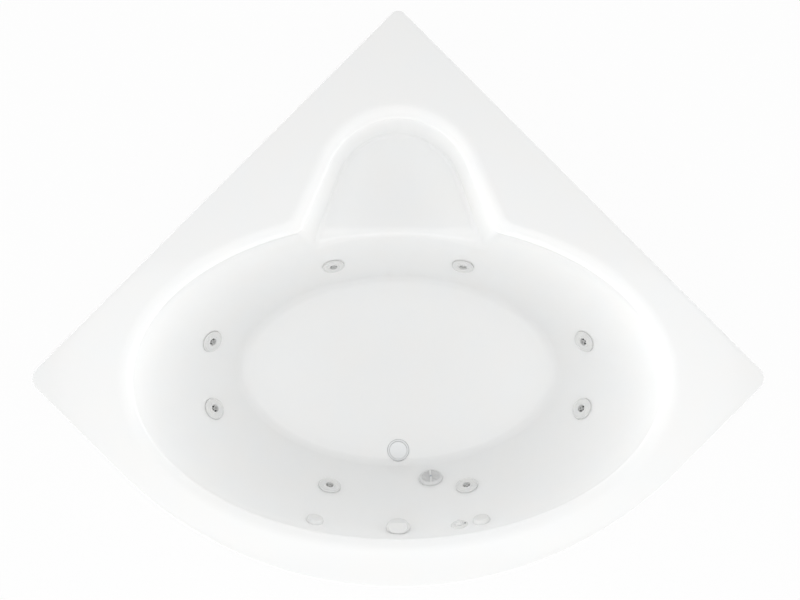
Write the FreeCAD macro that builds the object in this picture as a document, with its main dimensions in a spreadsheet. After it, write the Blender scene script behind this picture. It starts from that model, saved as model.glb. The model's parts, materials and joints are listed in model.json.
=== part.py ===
import FreeCAD, Part
import math
import os
import re

import Sketcher

Vector = FreeCAD.Vector
Rotation = FreeCAD.Rotation
Placement = FreeCAD.Placement

# Corner bath with water jets, seen from its front: X to the right, Y towards the room's corner,
# Z up, origin on the floor at the middle of the bath's own box. Millimetres and degrees.

# ------------------------------------------------------------------ driving sizes
SIZES = [
    # the rim: a square with its four corners rounded, two sides against the walls
    ("wall_side", 1524.0),
    ("rim_front_radius", 1141.0),
    ("rim_side_radius", 38.0),
    ("rim_back_radius", 28.0),
    ("rim_drop", 35.0),
    ("rim_edge_radius", 6.0),
    ("shell_thickness", 6.5),
    ("overall_height", 533.0),
    # the basin: ellipses that shrink towards the floor
    ("basin_from_corner", 1083.0),
    ("basin_half_length", 800.0),
    ("basin_half_width", 485.0),
    ("basin_depth", 430.0),
    ("lip_run_long", 28.5),
    ("lip_run_short", 22.0),
    ("lip_drop", 15.0),
    ("floor_half_length", 515.0),
    ("floor_half_width", 307.0),
    ("wall_power", 1.5),
    ("floor_fillet", 22.0),
    # the corner seat: an arch that opens into the basin
    ("seat_from_corner", 538.5),
    ("seat_radius", 246.0),
    ("seat_flare", 23.0),
    ("seat_lip_run", 28.0),
    ("seat_depth", 155.0),
    ("seat_floor_radius", 192.0),
    ("seat_floor_flare", 20.0),
    # under the shell
    ("board_thickness", 15.0),
    ("board_length", 800.0),
    ("board_width", 400.0),
    ("rail_size", 30.0),
    ("rail_wall", 2.0),
    ("side_post_reach", 930.0),
    ("back_post_reach", 875.7),
    ("front_post_reach", 494.3),
    ("cross_bar_spacing", 660.0),
    ("post_plate_length", 70.0),
    ("post_plate_thickness", 3.0),
    ("batten_thickness", 18.0),
    ("batten_width", 60.0),
    ("wall_batten_length", 1230.0),
    ("wall_batten_start", 120.0),
    ("front_batten_length", 220.0),
    ("batten_inset", 4.0),
    ("post_batten_length", 80.0),
    ("screw_radius", 2.4),
    ("screw_head_radius", 5.0),
    ("screw_length", 15.0),
    ("screw_spacing", 50.0),
    # levelling feet
    ("pad_radius", 25.0),
    ("pad_height", 8.0),
    ("stud_radius", 6.0),
    ("stud_above_rail", 23.5),
    ("nut_width", 19.0),
    ("nut_height", 10.0),
    # jets
    ("jet_back_x", 208.0),
    ("jet_back_depth", 318.0),
    ("jet_side_back", 102.0),
    ("jet_side_front", 115.0),
    ("jet_side_depth", 308.0),
    ("jet_front_x", 218.0),
    ("jet_front_depth", 285.0),
    ("jet_flange_radius", 33.0),
    ("jet_flange_thickness", 2.5),
    ("jet_barrel_radius", 22.0),
    ("jet_bore_radius", 19.5),
    ("jet_barrel_length", 66.0),
    ("jet_socket_room", 1.0),
    ("jet_housing_radius", 27.0),
    ("jet_port_radius", 16.0),
    ("jet_port_bore", 12.0),
    ("jet_port_reach", 34.0),
    ("jet_port_set_back", 48.0),
    ("jet_air_port_radius", 6.0),
    ("jet_air_port_height", 36.0),
    ("jet_air_port_reach", 18.0),
    ("ring_radius", 35.0),
    ("ring_height", 5.0),
    ("ring_lip_width", 3.5),
    ("ring_dish", 2.2),
    ("ring_collar_radius", 17.5),
    ("ring_skirt", 14.0),
    ("ball_radius", 16.0),
    ("ball_set_back", 4.0),
    ("ball_face", 12.4),
    ("nozzle_bore_radius", 8.8),
    ("vane_thickness", 1.6),
    ("vane_depth", 6.0),
    # fittings at one height on the front wall
    ("control_depth", 92.0),
    ("air_control_x", 249.0),
    ("air_knob_radius", 26.0),
    ("air_knob_face_radius", 23.0),
    ("air_knob_height", 12.0),
    ("air_knob_edge", 2.0),
    ("air_flange_radius", 23.0),
    ("air_flange_thickness", 2.0),
    ("air_shank_radius", 13.0),
    ("air_shank_length", 46.0),
    ("air_spindle_radius", 8.0),
    ("air_spindle_length", 24.0),
    ("air_spindle_room", 4.0),
    ("air_spigot_length", 12.0),
    ("switch_x", 183.0),
    ("switch_flange_radius", 25.5),
    ("switch_flange_thickness", 3.0),
    ("switch_shank_radius", 16.0),
    ("switch_shank_length", 40.0),
    ("switch_floor", 4.0),
    ("switch_bevel", 2.0),
    ("button_radius", 12.0),
    ("button_proud", 11.0),
    ("button_length", 24.0),
    ("button_bevel", 2.0),
    ("knob_radius", 35.0),
    ("knob_face_radius", 28.0),
    ("knob_height", 24.0),
    ("knob_bevel", 4.0),
    ("knob_bevel_drop", 3.0),
    ("knob_stem_radius", 7.0),
    ("knob_stem_length", 30.0),
    ("collar_radius", 31.0),
    ("collar_thickness", 3.0),
    ("collar_neck_radius", 22.0),
    ("collar_neck_length", 30.0),
    ("collar_neck_wall", 3.0),
    # the suction fitting
    ("suction_x", 106.0),
    ("suction_depth", 348.0),
    ("suction_radius", 38.0),
    ("suction_cover_height", 9.0),
    ("suction_flange_thickness", 3.0),
    ("suction_shank_radius", 27.0),
    ("suction_shank_length", 42.0),
    ("suction_slot_width", 3.2),
    ("suction_slot_pitch", 7.0),
    ("suction_bar_width", 9.0),
    ("suction_wall", 4.0),
    ("suction_flange_inset", 2.0),
    ("suction_edge_fillet", 5.4),
    ("suction_rim_width", 6.0),
    ("suction_top_thickness", 3.0),
    ("suction_slot_margin", 8.0),
    ("suction_boss_drop", 8.0),
    ("cover_screw_radius", 4.0),
    ("cover_screw_rise", 2.0),
    # the waste
    ("drain_from_corner", 1347.0),
    ("drain_radius", 36.5),
    ("drain_flange_thickness", 2.0),
    ("drain_shank_radius", 21.0),
    ("drain_shank_length", 30.0),
    ("drain_bore_radius", 18.0),
    ("drain_web_thickness", 3.0),
    ("drain_hub_wall", 3.0),
    ("drain_hub_rise", 4.0),
    ("stopper_radius", 30.0),
    ("stopper_thickness", 4.0),
    ("stopper_bevel", 1.5),
    ("stopper_stem_radius", 4.0),
    ("stopper_stem_length", 32.0),
    ("shoe_radius", 30.0),
    ("shoe_floor", 2.0),
    ("waste_pipe_radius", 19.05),
    ("waste_pipe_bore", 17.0),
    ("waste_hub_radius", 23.0),
    ("waste_hub_height", 52.0),
    ("waste_line_drop", 41.0),
    ("waste_riser_reach", 499.3),
    ("tailpiece_drop", 54.0),
    ("branch_reach", 12.0),
    ("socket_depth", 25.0),
    ("elbow_drop", 75.0),
    ("elbow_back_length", 28.0),
    ("elbow_wall", 4.0),
    ("cable_radius", 3.0),
    # nuts and gaskets behind the wall
    ("gasket_thickness", 3.0),
    ("gasket_width", 9.0),
    ("wall_nut_height", 12.0),
    ("wall_nut_width", 10.0),
    # the pump
    ("tee_from_wall", 56.4),
    ("pump_rail_length", 205.0),
    ("pump_axis_rise", 70.0),
    ("bracket_thickness", 4.0),
    ("bracket_width", 110.0),
    ("bracket_end_gap", 6.0),
    ("saddle_width", 77.0),
    ("saddle_thickness", 14.0),
    ("saddle_front", 30.0),
    ("saddle_back", 20.0),
    ("saddle_drop", 10.0),
    ("volute_radius", 74.0),
    ("volute_depth", 62.0),
    ("volute_wall", 5.0),
    ("inlet_radius", 30.0),
    ("inlet_length", 26.0),
    ("outlet_offset", 46.0),
    ("outlet_reach", 84.0),
    ("impeller_radius", 56.0),
    ("impeller_depth", 24.0),
    ("impeller_hub_radius", 14.0),
    ("impeller_disc", 3.0),
    ("blade_thickness", 3.0),
    ("blade_inset", 6.0),
    ("blade_set_back", 2.0),
    ("shaft_radius", 7.0),
    ("motor_radius", 60.0),
    ("motor_length", 180.0),
    ("motor_wall", 4.0),
    ("fin_rise", 3.5),
    ("fin_thickness", 2.0),
    ("fin_start", 12.0),
    ("fin_end_gap", 8.0),
    ("end_bell_length", 26.0),
    ("bell_fillet", 8.0),
    ("bell_slot_length", 22.0),
    ("bell_slot_width", 4.0),
    ("bell_slot_radius", 38.0),
    ("shaft_end_gap", 10.0),
    ("core_radius", 30.0),
    ("core_length", 90.0),
    ("stator_gap", 0.8),
    ("bearing_radius", 17.5),
    ("bearing_width", 12.0),
    ("bearing_boss_wall", 4.0),
    ("bearing_shoulder", 3.0),
    ("front_bearing_gap", 1.0),
    ("rear_bearing_gap", 3.0),
    ("box_length", 90.0),
    ("box_width", 70.0),
    ("box_height", 45.0),
    ("box_wall", 3.0),
    ("box_sink", 6.0),
    ("gland_drop", 6.0),
    ("gland_radius", 10.0),
    ("gland_bore", 4.0),
    ("gland_length", 22.0),
    # hoses
    ("suction_pipe_radius", 24.0),
    ("hose_radius", 15.0),
    ("hose_wall", 3.0),
    ("tee_radius", 19.0),
    ("tee_length", 84.0),
    ("air_hose_radius", 5.0),
    ("air_hose_bore", 3.5),
    # clearances
    ("gap", 0.3),
    ("running_gap", 0.05),
    ("hole_gap", 0.5),
]

# Counts, and how far a cutting tool or a joined piece goes past the face that it meets.
WALL_SECTIONS = 7
IMPELLER_BLADES = 6
MOTOR_FINS = 18
BELL_SLOTS = 12
DRAIN_LEGS = 3
DRILL_WALLS = 4
OVERSHOOT = 1.0

doc = FreeCAD.newDocument("corner_bath")
sheet = doc.addObject("Spreadsheet::Sheet", "Sizes")
for row, (name, number) in enumerate(SIZES, start=1):
    sheet.set(f"A{row}", name)
    sheet.set(f"B{row}", str(number))
    sheet.setAlias(f"B{row}", name)
doc.recompute()
NAMES = {name for name, number in SIZES}


def size(name):
    """The sheet's number for one driving size."""
    return float(sheet.get(name))


def bind(formula):
    """The formula with each size's name written as a reference to the sheet."""
    def refer(word):
        return "Sizes." + word.group() if word.group() in NAMES else word.group()
    return re.sub(r"[a-z_]+", refer, formula)


def worth(formula):
    """What a formula of sizes comes to now."""
    return float(sheet.evalExpression(bind(formula)))


# ------------------------------------------------------------------ the main levels
ROOT_TWO = math.sqrt(2)
half_diagonal = size("wall_side") / ROOT_TWO
back_recess = size("rim_back_radius") * (ROOT_TWO - 1)
front_reach = 2 * half_diagonal - size("rim_front_radius") * (ROOT_TWO - 1)
corner_y = (back_recess + front_reach) / 2
basin_y = corner_y - size("basin_from_corner")
seat_y = corner_y - size("seat_from_corner")
drain_y = corner_y - size("drain_from_corner")
deck = size("overall_height")
deck_under = deck - size("shell_thickness")
floor_top = deck - size("basin_depth")
floor_under = floor_top - size("shell_thickness")
rail_top = floor_under - size("board_thickness")
rail_bottom = rail_top - size("rail_size")
batten_bottom = deck_under - size("batten_thickness")
lip_level = deck - size("lip_drop")
lip_length = size("basin_half_length") - size("lip_run_long")
lip_width = size("basin_half_width") - size("lip_run_short")
wall_height = size("basin_depth") - size("lip_drop")
made = {}


def keep(label, thing):
    """Gives a finished sub-part its label, which is also its file's name."""
    thing.Label = label
    made[label] = thing
    return thing


def feature(label, shape, placement=None):
    """A sub-part whose shape is worked out from the sheet by this file's own functions."""
    thing = doc.addObject("Part::Feature", label)
    thing.Shape = shape
    if placement is not None:
        thing.Placement = placement
    return thing


def cylinder(radius, low, high, x=0.0, y=0.0):
    """A plain upright cylinder between two heights."""
    return Part.makeCylinder(radius, high - low, Vector(x, y, low))


def hole(radius, low, high, x=0.0, y=0.0):
    """A drill that goes a little past both heights."""
    return cylinder(radius, low - OVERSHOOT, high + OVERSHOOT, x, y)


def tube(outer, inner, low, high, x=0.0, y=0.0):
    """An upright tube between two heights."""
    return cylinder(outer, low, high, x, y).cut(hole(inner, low, high, x, y))


def block(length, width, low, high, x=0.0, y=0.0):
    """An upright block centred on x, y."""
    corner = Vector(x - length / 2, y - width / 2, low)
    return Part.makeBox(length, width, high - low, corner)


def turned(label, points, placement=Placement()):
    """A body turned about its own Z axis. Each point is (radius, height), as formulas."""
    body = doc.addObject("PartDesign::Body", label)
    outline = body.newObject("Sketcher::SketchObject", label + "_outline")
    plane = [item for item in body.Origin.OriginFeatures if item.Role == "XZ_Plane"][0]
    outline.AttachmentSupport = [(plane, "")]
    outline.MapMode = "FlatFace"
    places = [(worth(radius), worth(height)) for radius, height in points]
    count = len(points)
    for at in range(count):
        start, end = places[at], places[(at + 1) % count]
        outline.addGeometry(Part.LineSegment(Vector(*start, 0), Vector(*end, 0)))
    for at in range(count):
        outline.addConstraint(Sketcher.Constraint("Coincident", at, 2, (at + 1) % count, 1))
    for at, formulas in enumerate(points):
        for kind, axis, formula, place in zip(("DistanceX", "DistanceY"), (-2, -1), formulas, places[at]):
            if formula == "0":
                outline.addConstraint(Sketcher.Constraint("PointOnObject", at, 1, axis))
            else:
                rule = outline.addConstraint(Sketcher.Constraint(kind, -1, 1, at, 1, place))
                outline.setExpression(f"Constraints[{rule}]", bind(formula))
    turn = body.newObject("PartDesign::Revolution", label + "_turn")
    turn.Profile = outline
    turn.ReferenceAxis = (outline, ["V_Axis"])
    turn.Angle = 360
    body.Placement = placement
    return body


def rounded_outline(corners, radii, height):
    """A closed outline of straight runs and tangent arcs, one radius for each corner."""
    starts, edges = [], []
    count = len(corners)
    for at in range(count):
        corner = corners[at]
        before = (corners[at - 1] - corner).normalize()
        after = (corners[(at + 1) % count] - corner).normalize()
        half_turn = before.getAngle(after) / 2
        reach = radii[at] / math.tan(half_turn)
        middle = (before + after).normalize() * (radii[at] / math.sin(half_turn) - radii[at])
        starts.append((corner + before * reach, corner + middle, corner + after * reach))
    lift = Vector(0, 0, height)
    for at in range(count):
        first, middle, last = [point + lift for point in starts[at]]
        edges.append(Part.Arc(first, middle, last).toShape())
        following = starts[(at + 1) % count][0] + lift
        if (following - last).Length > 1e-6:
            edges.append(Part.LineSegment(last, following).toShape())
    return Part.Wire(edges)


def rim_outline(inset, height):
    """The rim's outline, moved inwards: back corner, right, front and left."""
    reach = half_diagonal - inset * ROOT_TWO
    middle = Vector(0, corner_y - half_diagonal, 0)
    corners = [middle + Vector(x * reach, y * reach, 0) for x, y in ((0, 1), (1, 0), (0, -1), (-1, 0))]
    radii = [size(name) - inset for name in
             ("rim_back_radius", "rim_side_radius", "rim_front_radius", "rim_side_radius")]
    return rounded_outline(corners, radii, height)


def plate(outline, thickness):
    """A flat plate that stands up from its outline."""
    return Part.Face(outline).extrude(Vector(0, 0, thickness))


# ------------------------------------------------------------------ the basin's wall
def wall_fall(depth):
    """How far down its wall a depth lies: 0 under the lip, 1 at the floor."""
    return (depth - size("lip_drop")) / wall_height


def wall_section(depth):
    """The inner ellipse's half length and half width, and how fast each shrinks."""
    fall = wall_fall(depth)
    share = fall ** size("wall_power")
    rate = size("wall_power") * fall ** (size("wall_power") - 1) / wall_height
    loss_long = lip_length - size("floor_half_length")
    loss_short = lip_width - size("floor_half_width")
    return (lip_length - loss_long * share, lip_width - loss_short * share,
            loss_long * rate, loss_short * rate)


def ellipse(half_length, half_width, height):
    curve = Part.Ellipse(Vector(0, basin_y, height), half_length, half_width)
    return Part.Wire([curve.toShape()])



def basin_solid(grow):
    """What the basin's wall encloses, grown outwards by a wall's thickness."""
    deepest = size("basin_depth") + grow
    sections = []
    for step in range(WALL_SECTIONS + 1):
        depth = size("lip_drop") + (deepest - size("lip_drop")) * step / WALL_SECTIONS
        long_half, short_half, long_rate, short_rate = wall_section(depth)
        sections.append(ellipse(long_half + grow * math.hypot(1, long_rate),
                                short_half + grow * math.hypot(1, short_rate), deck - depth))
    wall = Part.makeLoft(sections, True, False)
    low_edges = [edge for edge in wall.Edges
                 if edge.BoundBox.ZMax < deck - deepest + 0.01]
    return wall.makeFillet(size("floor_fillet") + grow, low_edges)


def lip_solid(grow):
    """The space inside the rolled lip, from the deck down to the top of the wall."""
    top = ellipse(size("basin_half_length") + grow, size("basin_half_width") + grow, deck)
    low = ellipse(lip_length + grow, lip_width + grow, lip_level)
    return Part.makeLoft([top, low], True, True)


SEAT_FRONT_SHARE = 0.79


def arch(radius, flare, height):
    """The seat's outline: a round back, two flared legs and a straight front in the basin."""
    angle = math.radians(flare)
    front = basin_y + wall_section(size("seat_depth"))[1] * SEAT_FRONT_SHARE
    touch = Vector(radius * math.cos(angle), seat_y + radius * math.sin(angle), height)
    toe = Vector(touch.x + (touch.y - front) * math.tan(angle), front, height)
    crown = Vector(0, seat_y + radius, height)
    touch_left = Vector(-touch.x, touch.y, height)
    toe_left = Vector(-toe.x, front, height)
    edges = [Part.LineSegment(toe, touch).toShape(), Part.Arc(touch, crown, touch_left).toShape(),
             Part.LineSegment(touch_left, toe_left).toShape(), Part.LineSegment(toe_left, toe).toShape()]
    return Part.Wire(edges)


def seat_solid(grow):
    """The space over the corner seat, from the deck to the seat's floor."""
    lip = size("seat_radius") - size("seat_lip_run") + grow
    low = deck - size("seat_depth") - grow
    top = arch(size("seat_radius") + grow, size("seat_flare"), deck)
    middle = arch(lip, size("seat_flare"), lip_level)
    bottom = arch(size("seat_floor_radius") + grow, size("seat_floor_flare"), low)
    return Part.makeLoft([top, middle], True, True).fuse(Part.makeLoft([middle, bottom], True, True))


def wall_frame(x, y, depth):
    """A fitting's place: its origin on the wall's face, Z out of the wall, Y up the wall."""
    long_half, short_half, long_rate, short_rate = wall_section(depth)
    if y is None:
        y = -short_half * math.sqrt(1 - (x / long_half) ** 2)
    elif x is None:
        x = long_half * math.sqrt(1 - (y / short_half) ** 2)
    rise = x * x * long_rate / long_half ** 3 + y * y * short_rate / short_half ** 3
    out = Vector(-x / long_half ** 2, -y / short_half ** 2, rise).normalize()
    along = Vector(0, 0, 1).cross(out).normalize()
    up = out.cross(along)
    return Placement(Vector(x, basin_y + y, deck - depth), Rotation(along, up, out, "ZXY"))


def mirrored(frame):
    """The same fitting on the other side of the bath."""
    out = frame.Rotation.multVec(Vector(0, 0, 1))
    out = Vector(-out.x, out.y, out.z)
    along = Vector(0, 0, 1).cross(out).normalize()
    base = Vector(-frame.Base.x, frame.Base.y, frame.Base.z)
    return Placement(base, Rotation(along, out.cross(along), out, "ZXY"))


def back_wall_frame(x, depth):
    """A fitting's place on the wall under the seat."""
    long_half, short_half = wall_section(depth)[:2]
    return wall_frame(x, short_half * math.sqrt(1 - (x / long_half) ** 2), depth)


JETS = [
    ("front_right", wall_frame(size("jet_front_x"), None, size("jet_front_depth"))),
    ("right_front", wall_frame(None, -size("jet_side_front"), size("jet_side_depth"))),
    ("right_back", wall_frame(None, size("jet_side_back"), size("jet_side_depth"))),
    ("back_right", back_wall_frame(size("jet_back_x"), size("jet_back_depth"))),
]
JETS += [(name.replace("right", "left"), mirrored(frame)) for name, frame in reversed(JETS)]
AIR_CONTROLS = [("left", wall_frame(-size("air_control_x"), None, size("control_depth"))),
                ("right", wall_frame(size("air_control_x"), None, size("control_depth")))]
switch_frame = wall_frame(size("switch_x"), None, size("control_depth"))
overflow_frame = wall_frame(0.0, None, size("control_depth"))
suction_frame = wall_frame(size("suction_x"), None, size("suction_depth"))
drain_frame = Placement(Vector(0, drain_y, floor_top), Rotation())


# Each fitting through the shell: its place, the radius of its hole and of its flat seat.
HOLES = [(frame, size("jet_barrel_radius"), size("ring_radius")) for name, frame in JETS]
HOLES += [(frame, size("air_shank_radius"), size("air_knob_radius")) for name, frame in AIR_CONTROLS]
HOLES += [
    (switch_frame, size("switch_shank_radius"), size("switch_flange_radius")),
    (overflow_frame, size("collar_neck_radius"), size("collar_radius")),
    (suction_frame, size("suction_shank_radius"), size("suction_radius")),
    (drain_frame, size("drain_shank_radius"), size("drain_radius")),
]


def tub_shell():
    """The bath: deck with its turned-down rim, basin and seat, with a hole for each fitting."""
    low = deck - size("rim_drop")
    slab = plate(rim_outline(0, low), size("rim_drop"))
    top_edges = [edge for edge in slab.Edges if edge.BoundBox.ZMin > deck - 0.01]
    slab = slab.makeFillet(size("rim_edge_radius"), top_edges)
    hollow = plate(rim_outline(size("shell_thickness"), low - OVERSHOOT),
                   deck_under - low + OVERSHOOT)
    wall = size("shell_thickness")
    lip = lip_solid(wall).common(slab.fuse(hollow))
    outside = slab.cut(hollow).fuse([lip, basin_solid(wall), seat_solid(wall)])
    inside = lip_solid(0).fuse([basin_solid(0), seat_solid(0)]).removeSplitter()
    shell = outside.cut(inside)
    deep = DRILL_WALLS * size("shell_thickness")
    for frame, shank, seat in HOLES:
        drill = cylinder(shank + size("hole_gap"), -deep, deep)
        face = cylinder(seat + size("hole_gap"), 0, deep)
        cutter = drill.fuse(face)
        cutter.Placement = frame
        shell = shell.cut(cutter)
    return shell.removeSplitter()


keep("tub_shell", feature("tub_shell", tub_shell()))


# ------------------------------------------------------------------ board, battens and cradle
def placed_box(name, length, width, height, x, y, z):
    """A box bound to the sheet; each size and each low corner is a formula or a number."""
    box = doc.addObject("Part::Box", name)
    for part, formula in (("Length", length), ("Width", width), ("Height", height)):
        box.setExpression(part, bind(formula))
    box.Placement = Placement(Vector(x, y, z), Rotation())
    return box


def box_tube(name, along, length, x, y, z):
    """A square steel tube that runs along X, Y or Z from its low corner."""
    outer_sizes, inner_sizes = [], []
    for axis in "XYZ":
        outer_sizes.append(length if axis == along else "rail_size")
        inner_sizes.append(length if axis == along else "rail_size - 2 * rail_wall")
    shift = [0 if axis == along else size("rail_wall") for axis in "XYZ"]
    outer = placed_box(name + "_outside", *outer_sizes, x, y, z)
    inner = placed_box(name + "_inside", *inner_sizes, x + shift[0], y + shift[1], z + shift[2])
    cut = doc.addObject("Part::Cut", name)
    cut.Base = outer
    cut.Tool = inner
    return cut


board = keep("base_board", placed_box(
    "base_board", "board_length", "board_width", "board_thickness",
    -size("board_length") / 2, basin_y - size("board_width") / 2, rail_top))

# The pump stands outside the wall: its outlet's tee keeps its distance from the wall.
axis_z = rail_top + size("bracket_thickness") + size("pump_axis_rise")
tee_z = axis_z + size("outlet_offset")
tee_x = wall_section(deck - tee_z)[0] + size("tee_from_wall")
pump_x = tee_x + size("tee_radius") + size("outlet_reach")

half_rail = size("rail_size") / 2
cross_x = size("cross_bar_spacing") / 2
back_post_y = basin_y + size("back_post_reach")
front_post_y = basin_y - size("front_post_reach")
POSTS = [(-size("side_post_reach"), basin_y), (size("side_post_reach"), basin_y), (0.0, back_post_y),
         (-cross_x, front_post_y), (cross_x, front_post_y)]
FEET = POSTS + [(-cross_x, basin_y), (cross_x, basin_y)]

RAILS = [
    ("spine", "X", "2 * (side_post_reach) + rail_size", -size("side_post_reach") - half_rail,
     basin_y - half_rail),
    ("front_bar_left", "Y", "front_post_reach", -cross_x - half_rail, front_post_y - half_rail),
    ("front_bar_right", "Y", "front_post_reach", cross_x - half_rail, front_post_y - half_rail),
    ("back_bar", "Y", "back_post_reach", -half_rail, basin_y + half_rail),
    ("back_arm_left", "Y", "board_width / 2 - rail_size / 2", -cross_x - half_rail,
     basin_y + half_rail),
    ("back_arm_right", "Y", "board_width / 2 - rail_size / 2", cross_x - half_rail,
     basin_y + half_rail),
    ("pump_rail", "Y", "pump_rail_length", pump_x - half_rail, basin_y + half_rail),
]


def group(label, shapes):
    """Several separate solids that are one sub-part."""
    return keep(label, feature(label, Part.makeCompound(shapes)))


rails = []
for name, along, length, x, y in RAILS:
    rail = box_tube(name, along, length, x, y, rail_bottom)
    doc.recompute()
    shape = rail.Shape
    for foot_x, foot_y in FEET:
        shape = shape.cut(hole(size("stud_radius") + size("gap"), rail_bottom,
                               rail_bottom + size("rail_wall"), foot_x, foot_y))
    rails += shape.Solids
group("cradle_rails", rails)

plate_low = batten_bottom - size("post_plate_thickness")


def screw_places(x, y):
    """Where the two screws of a post's plate go: beside the post, along X."""
    reach = size("screw_spacing") / 2
    return [(x - reach, y), (x + reach, y)]


posts, fasteners = [], []
for x, y in POSTS:
    post = block(size("rail_size"), size("rail_size"), rail_top, plate_low, x, y)
    inner = size("rail_size") - 2 * size("rail_wall")
    post = post.cut(block(inner, inner, rail_top - OVERSHOOT, plate_low, x, y))
    top = block(size("post_plate_length"), size("rail_size"), plate_low, batten_bottom, x, y)
    for screw_x, screw_y in screw_places(x, y):
        top = top.cut(hole(size("screw_radius") + size("gap"), plate_low, batten_bottom,
                           screw_x, screw_y))
        head_low = plate_low - size("screw_radius")
        head = cylinder(size("screw_head_radius"), head_low, plate_low, screw_x, screw_y)
        shank = cylinder(size("screw_radius"), head_low, plate_low + size("screw_length"),
                         screw_x, screw_y)
        fasteners.append(head.fuse(shank).removeSplitter())
    posts.append(post.fuse(top).removeSplitter())
group("cradle_posts", posts)


def wall_batten(side):
    """A board along one wall, under the deck."""
    inset = size("shell_thickness") + size("batten_inset")
    along = Vector(side, -1, 0).normalize()
    inward = Vector(-side, -1, 0).normalize()
    base = Vector(0, corner_y, batten_bottom)
    near, far = size("wall_batten_start"), size("wall_batten_start") + size("wall_batten_length")
    wide = inset + size("batten_width")
    ends = [base + along * near + inward * inset, base + along * far + inward * inset,
            base + along * far + inward * wide, base + along * near + inward * wide]
    return plate(Part.makePolygon(ends + ends[:1]), size("batten_thickness"))


def front_batten(side):
    """A short board that follows the front edge over a front post."""
    board_shape = block(size("front_batten_length"), size("batten_width"), batten_bottom, deck_under)
    lean = math.degrees(math.asin(cross_x / size("rim_front_radius")))
    board_shape.Placement = Placement(Vector(side * cross_x, front_post_y, 0),
                                      Rotation(Vector(0, 0, 1), side * lean))
    return board_shape


battens = [wall_batten(-1), wall_batten(1), front_batten(-1), front_batten(1)]
for x, y in POSTS[:3]:
    battens.append(block(size("post_batten_length"), size("batten_width"), batten_bottom,
                         deck_under, x, y))
pilot = Part.makeCompound(fasteners)
group("rim_battens", [item.cut(pilot).Solids[0] for item in battens])


def hexagon_nut(width, height, bore, low, x, y):
    """A hexagon nut with its lower face at a height."""
    corner = width / math.sqrt(3)
    points = [Vector(x + corner * math.cos(math.radians(60 * turn)),
                     y + corner * math.sin(math.radians(60 * turn)), low) for turn in range(7)]
    return plate(Part.makePolygon(points), height).cut(hole(bore, low, low + height, x, y))


for x, y in FEET:
    fasteners.append(hexagon_nut(size("nut_width"), size("nut_height"),
                                 size("stud_radius") + size("gap"),
                                 rail_bottom - size("nut_height"), x, y))
group("cradle_fasteners", fasteners)

stud_top = ("overall_height - basin_depth - shell_thickness - board_thickness - rail_size"
            " + stud_above_rail")
for number, (x, y) in enumerate(FEET, start=1):
    keep(f"levelling_foot_{number}", turned(f"levelling_foot_{number}", [
        ("0", "0"), ("pad_radius", "0"), ("pad_radius", "pad_height / 2"),
        ("pad_radius / 2", "pad_height"), ("pad_radius / 2", "2 * pad_height"),
        ("stud_radius", "2 * pad_height"), ("stud_radius", stud_top), ("0", stud_top)],
        Placement(Vector(x, y, 0), Rotation())))


# ------------------------------------------------------------------ jets
jet_bodies, gaskets, nuts = [], [], []


def in_place(shape, frame):
    """A copy of a shape moved from its own axes to a fitting's place."""
    moved = shape.copy()
    moved.Placement = frame.multiply(moved.Placement)
    return moved


def wall_ring(inner, width, high, low, frame):
    """A ring round a fitting's shank behind the wall."""
    return in_place(tube(inner + width, inner + size("gap"), low, high), frame)


def seal(radius, frame):
    """The gasket behind the wall round a fitting. Gives the height of its back."""
    face = -size("shell_thickness") - size("gap")
    back = face - size("gasket_thickness")
    gaskets.append(wall_ring(radius, size("gasket_width"), face, back, frame))
    return back


def seal_and_nut(radius, frame):
    """The gasket and the nut that hold a fitting in the wall."""
    back = seal(radius, frame)
    nuts.append(wall_ring(radius, size("wall_nut_width"), back, back - size("wall_nut_height"), frame))


def jet_body():
    """A jet's housing: flange, barrel, a cross tube for water and a small port for air."""
    flange = cylinder(size("jet_flange_radius"), 0, size("jet_flange_thickness"))
    barrel = cylinder(size("jet_barrel_radius"), -size("jet_port_set_back"), OVERSHOOT)
    rear_top = -size("jet_port_set_back") + size("jet_port_radius")
    rear = cylinder(size("jet_housing_radius"), -size("jet_barrel_length"), rear_top - size("gap"))
    reach = size("jet_port_reach")
    axis = Vector(1, 0, 0)
    middle = Vector(-reach, 0, -size("jet_port_set_back"))
    water = Part.makeCylinder(size("jet_port_radius"), 2 * reach, middle, axis)
    air_height = size("jet_air_port_height")
    air_reach = size("jet_air_port_reach")
    air = Part.makeCylinder(size("jet_air_port_radius"), air_height, Vector(0, 0, middle.z), Vector(0, 1, 0))
    air_start = Vector(-air_reach, air_height, middle.z)
    cross = Part.makeCylinder(size("jet_air_port_radius"), 2 * air_reach, air_start, axis)
    body = flange.fuse([barrel, rear, water, air, cross])
    socket_end = -size("ball_set_back") - size("ball_radius") - size("jet_socket_room")
    bore = cylinder(size("jet_bore_radius"), socket_end, size("jet_flange_thickness") + OVERSHOOT)
    throat = cylinder(size("jet_port_bore"), -size("jet_port_set_back"), socket_end + OVERSHOOT)
    past = axis * OVERSHOOT
    through = Part.makeCylinder(size("jet_port_bore"), 2 * (reach + OVERSHOOT), middle - past, axis)
    air_bore = Part.makeCylinder(size("air_hose_bore"), air_height, Vector(0, 0, middle.z), Vector(0, 1, 0))
    cross_bore = Part.makeCylinder(size("air_hose_bore"), 2 * (air_reach + OVERSHOOT),
                                   air_start - past, axis)
    return body.cut(bore.fuse([throat, through, air_bore, cross_bore])).removeSplitter()


def ball_socket():
    """The round hollow that a jet's ball turns in."""
    centre = Vector(0, 0, -size("ball_set_back"))
    return Part.makeSphere(size("ball_radius") + size("gap"), centre)


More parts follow.
